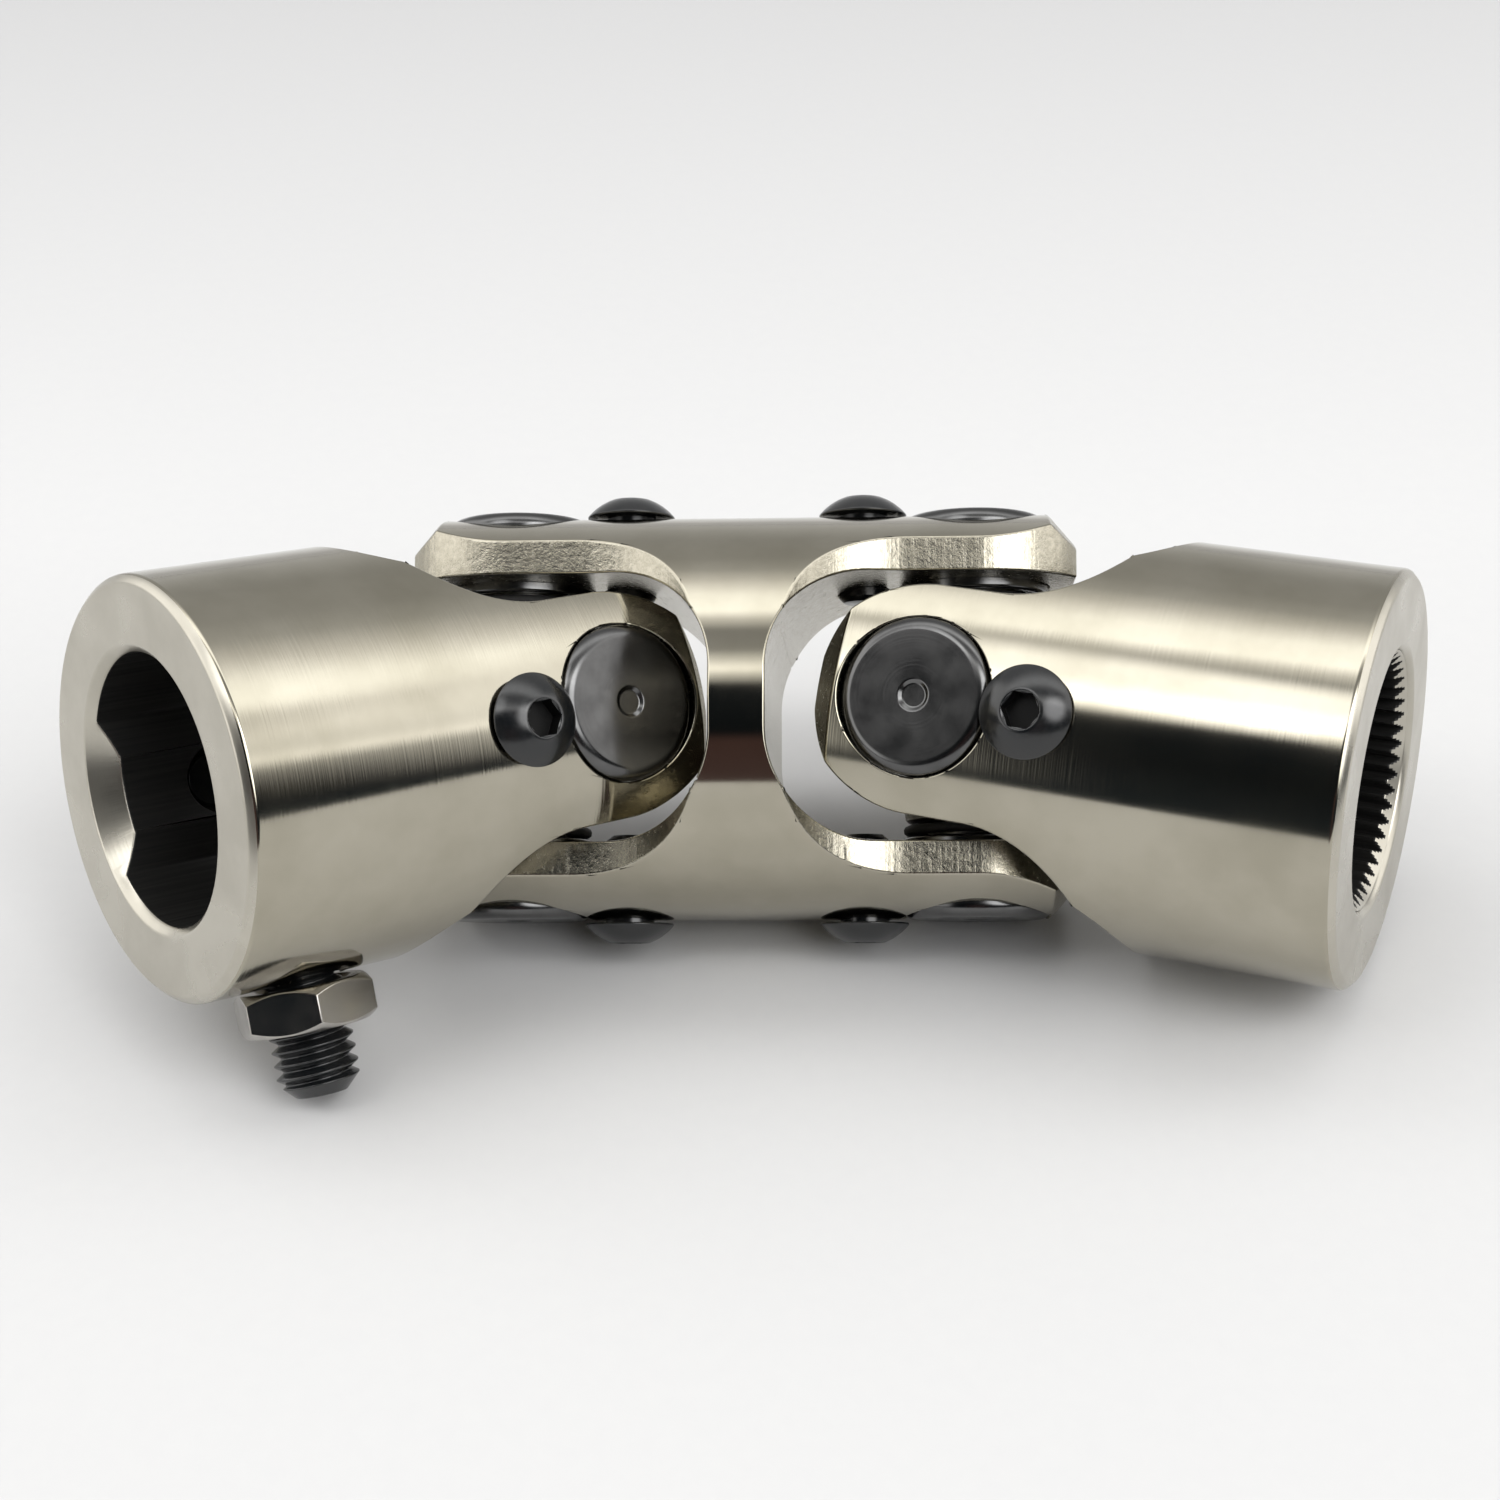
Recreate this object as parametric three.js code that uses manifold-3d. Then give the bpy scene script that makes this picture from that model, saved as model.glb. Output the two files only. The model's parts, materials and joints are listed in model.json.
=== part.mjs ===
// Double needle-bearing universal joint for a steering shaft, millimetres, +Z up.
//
// A short centre coupler carries a fork at each end. Each fork holds a cross, and each cross
// holds an end yoke: one with a double-flat (DD) bore, the other with a toothed bore. Every
// trunnion runs in a needle cup that a button-head screw keeps in its ear.
//
// Working frames:
//   fork frame     origin at the joint centre, +X towards the web or hub, Z along the trunnions
//   coupler frame  origin at the coupler's middle, X along its axis, Z along its trunnions
//   part frame     the resting pose: Z up, X along the coupler, origin under the box's middle
import * as THREE from 'three';
import { mergeVertices } from 'three/addons/utils/BufferGeometryUtils.js';
import Module from 'manifold-3d';

const wasm = await Module();
wasm.setup();

// ---------------------------------------------------------------- driving dimensions

const BODY_RADIUS = 19.85;          // turned outside of the coupler and both yokes
const JOINT_SPACING = 45;           // from one joint centre to the other
const YOKE_LENGTH = 40.2;           // joint centre to the yoke's end face
const SLOT_HALF_WIDTH = 12.8;       // joint axis to the ears' inner faces
const SLOT_DEPTH = BODY_RADIUS;     // joint centre to the bottom of the slot
const SLOT_CORNER = 9.9;            // radius in the slot's two corners
const YOKE_EAR_TIP = 10.5;          // joint centre to the ear's end
const COUPLER_EAR_TIP = 9.7;
const NOSE_CHAMFER = { along: 2.6, radial: 3 };
const HUB_CHAMFER = 0.75;

// Ear outlines, seen along the trunnions: half width, and the arc that sweeps out to the body.
const COUPLER_EAR = { halfWidth: 11.7, flankStart: 6.5, flankRadius: 14.1 };
const YOKE_EAR = { halfWidth: 10.8, flankStart: 5.4, flankRadius: 12.3 };

const FIT_GAP = 0.3;                // clearance between neighbouring solids

const CAP_RADIUS = 7.35;
const CAP_WALL = 0.9;
const CAP_FLOOR = 1.4;
const CAP_EDGE = 1.3;               // rounding of the cup's outer edge
const CAP_DIMPLE = { radius: 1.5, depth: 0.3 };
const CAP_MOUTH = 11.9;             // joint centre to the cup's open end
const TRUNNION_RADIUS = 4.7;
const NEEDLE_COUNT = 12;
const NEEDLE_WAVE = 0.2;            // depth of the dips between needles
const SEAL = { inner: 5, outer: 7.1, from: 10.7, to: 11.6 };
const CROSS_SHOULDER = { radius: 7, reach: 10.4 };
const CROSS_BOSS = { radius: 8.8, length: 10 };

const SCREW_OFFSET = 10.95;         // trunnion axis to screw axis, towards the web or hub
const SCREW_RADIUS = 2.4;
const SCREW_TIP = 11.5;             // joint centre to the screw's inner end
const HEAD = { radius: 4.35, height: 1.9, rim: 0.15, crown: 1.95 };
const HEAD_SEAT = BODY_RADIUS + FIT_GAP;
const HEAD_SOCKET = { acrossFlats: 3.18, depth: 1.6 };

const DD_BORE = { radius: 12.7, flat: 10.4, pilot: 11, mouth: 13.5 };
const SPLINE_BORE = { teeth: 48, root: 12.1, crest: 11.2, mouth: 12.85 };
const END_TO_SET_SCREW = 11.3;      // end face to the set screw's axis
const SET_SCREW = { radius: 3.8, thread: 0.35, pitch: 1.27, point: 12.2, head: 30.6 };
const FLAT_SCREW = { ...SET_SCREW, point: 12.9, head: 19.2, fromEnd: 12.5 };
const FLAT_SCREW_LEAD = { radius: 3.45, depth: 12.6 };
const SET_SCREW_SOCKET = { acrossFlats: 3.97, depth: 3.5 };
const TAPPED_HOLE_RADIUS = 4.15;
const JAM_NUT = { acrossFlats: 12, seat: BODY_RADIUS + FIT_GAP, height: 4.2, bevel: 0.7, turn: 16 };

// How far each yoke is turned from straight, about the coupler's and about its own trunnions.
const DD_BEND = { swing: 38.8, dip: 13 };
const SPLINE_BEND = { swing: 18.5, dip: 11 };
const LEAN = 41.3;                  // tilt of the coupler's trunnion axis from upright
const ROLL_TO_TABLE = 0.36;         // tilt of the coupler's own axis from level

const BODY_SIDES = 60;
const HOLE_SIDES = 24;
const CROSS_SIDES = 16;
const SCREW_SIDES = 14;
const SEAL_SIDES = 12;
const ARC_STEPS = 7;
const DOME_STEPS = 3;
const OVERRUN = 3;                  // how far a cutter runs past what it cuts

const NICKEL = new THREE.MeshStandardMaterial({ color: 0xa39d90, roughness: 0.3, metalness: 1 });
const FORGED = new THREE.MeshStandardMaterial({ color: 0x77736c, roughness: 0.45, metalness: 1 });
const CUP_STEEL = new THREE.MeshStandardMaterial({ color: 0x5f5f61, roughness: 0.22, metalness: 1 });
const NEEDLE_STEEL = new THREE.MeshStandardMaterial({ color: 0xb9babd, roughness: 0.15, metalness: 1 });
const BLACK_OXIDE = new THREE.MeshStandardMaterial({ color: 0x1d1e20, roughness: 0.4, metalness: 0.8 });
const ZINC = new THREE.MeshStandardMaterial({ color: 0xb4b4b0, roughness: 0.35, metalness: 1 });
const RUBBER = new THREE.MeshStandardMaterial({ color: 0x161616, roughness: 0.85, metalness: 0 });

// ---------------------------------------------------------------- solids and geometry

const rad = THREE.MathUtils.degToRad;

/** A closed three.js geometry as a manifold solid. */
function solid(geometry) {
  const bare = geometry.clone();
  bare.deleteAttribute('normal');
  bare.deleteAttribute('uv');
  const merged = mergeVertices(bare, 1e-4);
  return new wasm.Manifold(new wasm.Mesh({
    numProp: 3,
    vertProperties: new Float32Array(merged.attributes.position.array),
    triVerts: new Uint32Array(merged.index.array),
  }));
}

/** A manifold solid as a flat-shaded three.js geometry. */
function geometryOf(shape) {
  const mesh = shape.getMesh();
  const geometry = new THREE.BufferGeometry();
  geometry.setAttribute('position', new THREE.BufferAttribute(mesh.vertProperties, 3));
  geometry.setIndex(new THREE.BufferAttribute(mesh.triVerts, 1));
  return geometry;
}

function subtractAll(body, cutters) {
  return cutters.reduce((rest, cutter) => rest.subtract(cutter), body);
}

/** Turns a profile of [radius, height] points about Z; it starts and ends on the axis or closes. */
function turned(profile, sides) {
  const points = profile.map(([radius, height]) => new THREE.Vector2(radius, height));
  return new THREE.LatheGeometry(points, sides).rotateX(Math.PI / 2);
}

/** The same profile turned about X, heights running along +X. */
function turnedAlongX(profile, sides) {
  return turned(profile, sides).rotateY(Math.PI / 2);
}

/** A plain rod about Z from one height to another. */
function rod(radius, from, to, sides = HOLE_SIDES) {
  return turned([[0, from], [radius, from], [radius, to], [0, to]], sides);
}

/** A prism of a shape drawn in XY, centred on z = 0. */
function prism(shape, thickness, steps = ARC_STEPS) {
  const options = { depth: thickness, bevelEnabled: false, curveSegments: steps };
  return new THREE.ExtrudeGeometry(shape, options).translate(0, 0, -thickness / 2);
}

function hexPrism(acrossFlats, from, to) {
  return rod(acrossFlats / Math.sqrt(3), from, to, 6);
}

/** Points of an arc about (x, y), with angles in degrees. */
function arc(x, y, radius, fromAngle, toAngle, steps = ARC_STEPS) {
  const points = [];
  for (let step = 0; step <= steps; step += 1) {
    const angle = rad(fromAngle + ((toAngle - fromAngle) * step) / steps);
    points.push([x + radius * Math.cos(angle), y + radius * Math.sin(angle)]);
  }
  return points;
}

function shapeOf(points) {
  return new THREE.Shape(points.map(([x, y]) => new THREE.Vector2(x, y)));
}

// ---------------------------------------------------------------- forks

/** The round-bottomed slot between the ears, running right through along Y. */
function slotCutter() {
  const straight = SLOT_HALF_WIDTH - SLOT_CORNER;
  const cornerX = SLOT_DEPTH - SLOT_CORNER;
  const open = -YOKE_EAR_TIP - OVERRUN;
  const outline = [
    [open, -SLOT_HALF_WIDTH],
    ...arc(cornerX, -straight, SLOT_CORNER, -90, 0),
    ...arc(cornerX, straight, SLOT_CORNER, 0, 90),
    [open, SLOT_HALF_WIDTH],
  ];
  return prism(shapeOf(outline), 2 * (BODY_RADIUS + OVERRUN)).rotateX(Math.PI / 2);
}

/** Takes away what lies beside one ear: its round end, its straight side and its flank. */
function flankCutter({ halfWidth, flankStart, flankRadius }, side) {
  const edge = BODY_RADIUS + 0.5;
  const centreY = halfWidth + flankRadius;
  const endAngle = THREE.MathUtils.radToDeg(Math.asin((edge - centreY) / flankRadius));
  const outline = [
    [-2 * BODY_RADIUS, 0],
    ...arc(0, 0, halfWidth, 180, 90),
    ...arc(flankStart, centreY, flankRadius, -90, endAngle),
    [-2 * BODY_RADIUS, edge],
  ];
  const mirrored = outline.map(([x, y]) => [x, side * y]);
  return prism(shapeOf(mirrored), 2 * (BODY_RADIUS + OVERRUN));
}

/** Everything that a fork has cut away, in the fork frame. */
function forkCutters(ear) {
  const reach = BODY_RADIUS + OVERRUN;
  const trunnionBore = rod(CAP_RADIUS + FIT_GAP, -reach, reach);
  const screwHoles = rod(SCREW_RADIUS + FIT_GAP, -reach, reach, SCREW_SIDES);
  return [
    slotCutter(),
    flankCutter(ear, 1),
    flankCutter(ear, -1),
    trunnionBore,
    screwHoles.translate(SCREW_OFFSET, 0, 0),
  ];
}

/** Profile points from an ear's flat end to the full radius, over the nose chamfer. */
function noseProfile(tip, direction) {
  return [
    [0, tip],
    [BODY_RADIUS - NOSE_CHAMFER.radial, tip],
    [BODY_RADIUS, tip + direction * NOSE_CHAMFER.along],
  ];
}

// ---------------------------------------------------------------- the three machined bodies

function couplerGeometry() {
  const tip = JOINT_SPACING / 2 + COUPLER_EAR_TIP;
  const profile = [...noseProfile(-tip, 1), ...noseProfile(tip, -1).reverse()];
  const blank = solid(turnedAlongX(profile, BODY_SIDES));
  const left = forkCutters(COUPLER_EAR).map(
    (cutter) => solid(cutter.translate(-JOINT_SPACING / 2, 0, 0)));
  const right = forkCutters(COUPLER_EAR).map(
    (cutter) => solid(cutter.rotateZ(Math.PI).translate(JOINT_SPACING / 2, 0, 0)));
  return geometryOf(subtractAll(blank, [...left, ...right]));
}

/** A yoke blank with its fork cut, in the fork frame, before the hub is bored. */
function yokeBlank() {
  const profile = [
    ...noseProfile(-YOKE_EAR_TIP, 1),
    [BODY_RADIUS, YOKE_LENGTH - HUB_CHAMFER],
    [BODY_RADIUS - HUB_CHAMFER, YOKE_LENGTH],
    [0, YOKE_LENGTH],
  ];
  const blank = solid(turnedAlongX(profile, BODY_SIDES));
  return subtractAll(blank, forkCutters(YOKE_EAR).map(solid));
}

/** A 45-degree countersink that opens to the given radius at the hub's end face. */
function mouthCutter(mouthRadius) {
  const wide = mouthRadius + OVERRUN;
  return turnedAlongX([
    [0, YOKE_LENGTH - mouthRadius],
    [wide, YOKE_LENGTH + OVERRUN],
    [0, YOKE_LENGTH + OVERRUN],
  ], BODY_SIDES);
}

/** A bore of the given outline, drawn in the hub's cross-section, from the slot to the end face. */
function boreCutter(outline) {
  const from = SLOT_DEPTH - SLOT_CORNER;
  const length = YOKE_LENGTH + OVERRUN - from;
  return prism(shapeOf(outline), length).rotateY(Math.PI / 2).translate(from + length / 2, 0, 0);
}

/** Round bore with two flats along the yoke's trunnions, each hollowed by the pilot bore. */
function doubleFlatOutline() {
  const { radius, flat, pilot } = DD_BORE;
  const corner = THREE.MathUtils.radToDeg(Math.acos(flat / radius));
  const hollow = THREE.MathUtils.radToDeg(Math.acos(flat / pilot));
  return [
    ...arc(0, 0, radius, corner, 180 - corner, 3 * ARC_STEPS),
    ...arc(0, 0, pilot, 180 - hollow, 180 + hollow),
    ...arc(0, 0, radius, 180 + corner, 360 - corner, 3 * ARC_STEPS),
    ...arc(0, 0, pilot, 360 - hollow, 360 + hollow),
  ];
}

/** Pointed teeth all round: root and crest radii in turn. */
function toothedOutline() {
  const { teeth, root, crest } = SPLINE_BORE;
  const points = [];
  for (let index = 0; index < 2 * teeth; index += 1) {
    const radius = index % 2 === 0 ? root : crest;
    const angle = (Math.PI * index) / teeth;
    points.push([radius * Math.cos(angle), radius * Math.sin(angle)]);
  }
  return points;
}

function ddYokeGeometry() {
  const setScrewHole = rod(TAPPED_HOLE_RADIUS, 0, BODY_RADIUS + OVERRUN, HOLE_SIDES)
    .rotateX(-Math.PI / 2)
    .translate(YOKE_LENGTH - END_TO_SET_SCREW, 0, 0);
  const lead = FLAT_SCREW_LEAD;
  const flatScrewHole = turned([
    [0, 0],
    [lead.radius, 0],
    [lead.radius, lead.depth],
    [TAPPED_HOLE_RADIUS, lead.depth],
    [TAPPED_HOLE_RADIUS, BODY_RADIUS + OVERRUN],
    [0, BODY_RADIUS + OVERRUN],
  ], HOLE_SIDES).rotateX(Math.PI).translate(YOKE_LENGTH - FLAT_SCREW.fromEnd, 0, 0);
  const cutters = [
    boreCutter(doubleFlatOutline()),
    mouthCutter(DD_BORE.mouth),
    setScrewHole,
    flatScrewHole,
  ];
  return geometryOf(subtractAll(yokeBlank(), cutters.map(solid)));
}

function splineYokeGeometry() {
  const cutters = [boreCutter(toothedOutline()), mouthCutter(SPLINE_BORE.mouth)];
  return geometryOf(subtractAll(yokeBlank(), cutters.map(solid)));
}

// ---------------------------------------------------------------- small parts

/** Cross with trunnions along Z and Y. */
function crossGeometry() {
  const reach = BODY_RADIUS - CAP_FLOOR - FIT_GAP;
  const { radius, reach: shoulder } = CROSS_SHOULDER;
  const bar = [
    [0, -reach],
    [TRUNNION_RADIUS - 0.4, -reach],
    [TRUNNION_RADIUS, -reach + 0.4],
    [TRUNNION_RADIUS, -shoulder],
    [radius, -shoulder],
    [radius, shoulder],
    [TRUNNION_RADIUS, shoulder],
    [TRUNNION_RADIUS, reach - 0.4],
    [TRUNNION_RADIUS - 0.4, reach],
    [0, reach],
  ];
  const upright = solid(turned(bar, CROSS_SIDES));
  const level = solid(turned(bar, CROSS_SIDES).rotateX(Math.PI / 2));
  const half = CROSS_BOSS.length / 2;
  const boss = solid(turnedAlongX(
    [[0, -half], [CROSS_BOSS.radius, -half], [CROSS_BOSS.radius, half], [0, half]], CROSS_SIDES));
  return geometryOf(upright.add(level).add(boss));
}

/** Needle cup: open towards the joint centre, closed and dimpled outside. */
function capGeometry() {
  const inner = CAP_RADIUS - CAP_WALL;
  const floor = BODY_RADIUS - CAP_FLOOR;
  const rounded = arc(CAP_RADIUS - CAP_EDGE, BODY_RADIUS - CAP_EDGE, CAP_EDGE, 0, 90, 2);
  return turned([
    [0, floor],
    [inner, floor],
    [inner, CAP_MOUTH],
    [CAP_RADIUS, CAP_MOUTH],
    ...rounded,
    [CAP_DIMPLE.radius, BODY_RADIUS],
    [0, BODY_RADIUS - CAP_DIMPLE.depth],
  ], HOLE_SIDES);
}

/** One full row of needles round a trunnion, as a single scalloped ring. */
function needleRingGeometry() {
  const outer = CAP_RADIUS - CAP_WALL - FIT_GAP;
  const inner = TRUNNION_RADIUS + FIT_GAP;
  const from = SEAL.to + 2 * FIT_GAP;
  const to = BODY_RADIUS - CAP_FLOOR - FIT_GAP;
  const ring = (radius, wave) => {
    const points = [];
    for (let index = 0; index < 2 * NEEDLE_COUNT; index += 1) {
      const local = index % 2 === 0 ? radius : radius + wave;
      const angle = (Math.PI * index) / NEEDLE_COUNT;
      points.push([local * Math.cos(angle), local * Math.sin(angle)]);
    }
    return points;
  };
  const shape = shapeOf(ring(outer, -NEEDLE_WAVE));
  shape.holes.push(shapeOf(ring(inner, NEEDLE_WAVE)));
  return prism(shape, to - from).translate(0, 0, (from + to) / 2);
}

function sealGeometry() {
  const { inner, outer, from, to } = SEAL;
  return turned([[inner, from], [outer, from], [outer, to], [inner, to], [inner, from]], SEAL_SIDES);
}

/** Button-head screw with a hexagon socket, head outward. */
function retainingScrewGeometry() {
  const { radius, height, rim, crown } = HEAD;
  const top = HEAD_SEAT + height;
  // The dome is part of a sphere through the top of the rim and the edge of the flat crown.
  const centre = (radius ** 2 + rim ** 2 - crown ** 2 - height ** 2) / (2 * (rim - height));
  const sphere = Math.hypot(radius, rim - centre);
  const fromRim = Math.atan2(rim - centre, radius);
  const toCrown = Math.atan2(height - centre, crown);
  const dome = [];
  for (let step = 0; step <= DOME_STEPS; step += 1) {
    const turn = fromRim + (toCrown - fromRim) * (step / DOME_STEPS);
    dome.push([sphere * Math.cos(turn), HEAD_SEAT + centre + sphere * Math.sin(turn)]);
  }
  const body = solid(turned([
    [0, SCREW_TIP],
    [SCREW_RADIUS - 0.4, SCREW_TIP],
    [SCREW_RADIUS, SCREW_TIP + 0.4],
    [SCREW_RADIUS, HEAD_SEAT],
    [radius, HEAD_SEAT],
    ...dome,
    [0, top],
  ], SCREW_SIDES));
  const socket = solid(hexPrism(HEAD_SOCKET.acrossFlats, top - HEAD_SOCKET.depth, top + 1));
  return geometryOf(body.subtract(socket)).translate(SCREW_OFFSET, 0, 0);
}

/** Set screw along +Z with its point nearest the bore and a hexagon socket outside. */
function setScrewGeometry({ radius, thread, pitch, point, head }) {
  const root = radius - thread;
  const tip = 1.2;
  const profile = [[0, point], [root - 1, point], [root, point + tip]];
  const turns = Math.floor((head - 0.6 - point - tip) / pitch);
  for (let turn = 0; turn < turns; turn += 1) {
    const start = point + tip + turn * pitch;
    profile.push([radius, start + pitch / 2], [root, start + pitch]);
  }
  profile.push([root, head - 0.5], [root - 0.5, head], [0, head]);
  const body = solid(turned(profile, SCREW_SIDES));
  const { acrossFlats, depth } = SET_SCREW_SOCKET;
  return geometryOf(body.subtract(solid(hexPrism(acrossFlats, head - depth, head + 1))));
}

/** Jam nut on the set screw, both ends bevelled, turned to where it locks. */
function jamNutGeometry() {
  const { acrossFlats, seat, height, bevel, turn } = JAM_NUT;
  const corner = acrossFlats / Math.sqrt(3);
  const flat = acrossFlats / 2;
  const barrel = turned([
    [0, seat],
    [flat, seat],
    [corner + 0.05, seat + bevel],
    [corner + 0.05, seat + height - bevel],
    [flat, seat + height],
    [0, seat + height],
  ], HOLE_SIDES);
  const hex = solid(hexPrism(acrossFlats, seat, seat + height));
  const hole = solid(rod(SET_SCREW.radius + FIT_GAP, seat - 1, seat + height + 1, SCREW_SIDES));
  return geometryOf(hex.intersect(solid(barrel)).subtract(hole)).rotateZ(rad(turn));
}

// ---------------------------------------------------------------- assembly

// Where the yoke ears on each cross's +Y and -Y trunnions lie: on the part's front or its rear.
const YOKE_EARS = { dd: ['yoke_front', 'yoke_rear'], spline: ['yoke_rear', 'yoke_front'] };

function mesh(name, geometry, material) {
  const node = new THREE.Mesh(geometry, material);
  node.name = name;
  return node;
}

/** Cup, needles and screw of one ear; `flip` puts them on the -Z side of the fork frame. */
function earParts(place, flip) {
  const group = new THREE.Group();
  group.add(
    mesh(`bearing_cap_${place}`, capGeometry(), CUP_STEEL),
    mesh(`needle_ring_${place}`, needleRingGeometry(), NEEDLE_STEEL),
    mesh(`retaining_screw_${place}`, retainingScrewGeometry(), BLACK_OXIDE),
  );
  if (flip) {
    group.rotation.x = Math.PI;
  }
  return group;
}

/** Cross and its four seals; the coupler's trunnions lie along Z and the yoke's along Y. */
function crossAssembly(end) {
  const group = new THREE.Group();
  group.add(mesh(`cross_${end}`, crossGeometry(), FORGED));
  const [plusY, minusY] = YOKE_EARS[end];
  const turns = { coupler_top: 0, coupler_bottom: 180, [plusY]: -90, [minusY]: 90 };
  for (const [place, turn] of Object.entries(turns)) {
    const seal = mesh(`seal_${end}_${place}`, sealGeometry(), RUBBER);
    seal.rotation.x = rad(turn);
    group.add(seal);
  }
  return group;
}

/**
 * The DD yoke's two set screws: one stands out on the fork frame's +Y side, locked by a jam nut,
 * and a short one sits below the surface on the -Z side and bears on the shaft's flat.
 */
function clampParts() {
  const standing = new THREE.Group();
  standing.add(
    mesh('set_screw', setScrewGeometry(SET_SCREW), BLACK_OXIDE),
    mesh('jam_nut', jamNutGeometry(), ZINC),
  );
  standing.position.x = YOKE_LENGTH - END_TO_SET_SCREW;
  standing.rotation.x = -Math.PI / 2;
  const flush = mesh('set_screw_flat', setScrewGeometry(FLAT_SCREW), BLACK_OXIDE);
  flush.position.x = YOKE_LENGTH - FLAT_SCREW.fromEnd;
  flush.rotation.x = Math.PI;
  return [standing, flush];
}

/** A yoke with its ears' parts; its trunnions lie along the cross's Y axis. */
function yokeAssembly(end, geometry, extras) {
  const fork = new THREE.Group();
  const [plusY, minusY] = YOKE_EARS[end];
  fork.rotation.x = -Math.PI / 2;
  fork.add(
    mesh(`yoke_${end}`, geometry, NICKEL),
    earParts(`${end}_${plusY}`, false),
    earParts(`${end}_${minusY}`, true),
    ...extras,
  );
  return fork;
}

/** One joint: the cross swings about the coupler's trunnions and the yoke dips about its own. */
function joint(end, centreX, heading, dip, yoke) {
  const swing = new THREE.Group();
  swing.position.x = centreX;
  swing.rotation.z = rad(heading);
  const dipping = new THREE.Group();
  dipping.rotation.y = rad(dip);
  dipping.add(yoke);
  swing.add(crossAssembly(end), dipping);
  return swing;
}

/** The coupler with the cups, needles and screws of its four ears. */
function couplerAssembly() {
  const group = new THREE.Group();
  group.add(mesh('coupler', couplerGeometry(), NICKEL));
  for (const [end, side] of [['dd', -1], ['spline', 1]]) {
    const fork = new THREE.Group();
    fork.position.x = (side * JOINT_SPACING) / 2;
    fork.rotation.z = side < 0 ? 0 : Math.PI;
    fork.add(
      earParts(`${end}_coupler_top`, false),
      earParts(`${end}_coupler_bottom`, true),
    );
    group.add(fork);
  }
  return group;
}

const assembly = new THREE.Group();
const half = JOINT_SPACING / 2;
assembly.add(
  couplerAssembly(),
  joint('dd', -half, 180 + DD_BEND.swing, DD_BEND.dip,
    yokeAssembly('dd', ddYokeGeometry(), clampParts())),
  joint('spline', half, -SPLINE_BEND.swing, SPLINE_BEND.dip,
    yokeAssembly('spline', splineYokeGeometry(), [])),
);
assembly.rotation.set(rad(-LEAN), rad(ROLL_TO_TABLE), 0, 'YXZ');

const part = new THREE.Group();
part.add(assembly);

// The origin sits under the middle of the whole part's box.
part.updateMatrixWorld(true);
const box = new THREE.Box3().setFromObject(part, true);
assembly.position.set(-(box.min.x + box.max.x) / 2, -(box.min.y + box.max.y) / 2, -box.min.z);

export default part;
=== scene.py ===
"""Looks of a double needle-bearing universal joint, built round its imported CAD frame.

Every visible CAD node gets a finely meshed piece in its place. Lengths in this file are
millimetres, turned to metres when a mesh is made. Three kinds of frame are used, all worked out
from the record:
  fork frame     origin at a joint centre, +X towards the web or hub, Z along the fork's trunnions
  coupler frame  origin at the coupler's middle, X along it, Z along its trunnions
  cross frame    origin at a joint centre, Z and Y along the cross's two trunnion pairs
"""

import json
import math

import bmesh
import bpy
import numpy as np
from mathutils import Matrix, Vector


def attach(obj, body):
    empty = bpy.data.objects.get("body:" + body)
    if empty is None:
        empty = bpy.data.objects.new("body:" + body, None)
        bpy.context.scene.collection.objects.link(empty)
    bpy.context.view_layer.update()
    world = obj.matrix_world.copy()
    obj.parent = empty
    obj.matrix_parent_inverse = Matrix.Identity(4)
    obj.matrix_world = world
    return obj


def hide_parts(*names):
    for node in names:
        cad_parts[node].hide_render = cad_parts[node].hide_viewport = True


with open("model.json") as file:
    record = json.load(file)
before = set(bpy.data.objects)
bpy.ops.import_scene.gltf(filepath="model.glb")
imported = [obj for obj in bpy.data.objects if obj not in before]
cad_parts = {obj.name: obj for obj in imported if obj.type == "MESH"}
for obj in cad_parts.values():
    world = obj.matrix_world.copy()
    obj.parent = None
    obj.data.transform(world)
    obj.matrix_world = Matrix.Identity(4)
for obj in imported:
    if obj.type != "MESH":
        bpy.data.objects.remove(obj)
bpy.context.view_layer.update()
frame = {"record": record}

MM = 0.001

# ---------------------------------------------------------------- dimensions, as in the CAD model

BODY_RADIUS = 19.85
JOINT_SPACING = 45
YOKE_LENGTH = 40.2
SLOT_HALF_WIDTH = 12.8
SLOT_DEPTH = BODY_RADIUS
SLOT_CORNER = 9.9
YOKE_EAR_TIP, COUPLER_EAR_TIP = 10.5, 9.7
NOSE_ALONG, NOSE_RADIAL = 2.6, 3
HUB_CHAMFER = 0.75
COUPLER_EAR = (11.7, 6.5, 14.1)     # half width, start of the flank and its radius
YOKE_EAR = (10.8, 5.4, 12.3)
CAP_RADIUS, CAP_EDGE, CAP_MOUTH = 7.35, 1.3, 11.9
CAP_WALL, CAP_FLOOR, CAP_LIP = 0.9, 1.4, 0.3
CAP_FLAT = 4                        # radius where the flat face gets an extra ring
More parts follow.
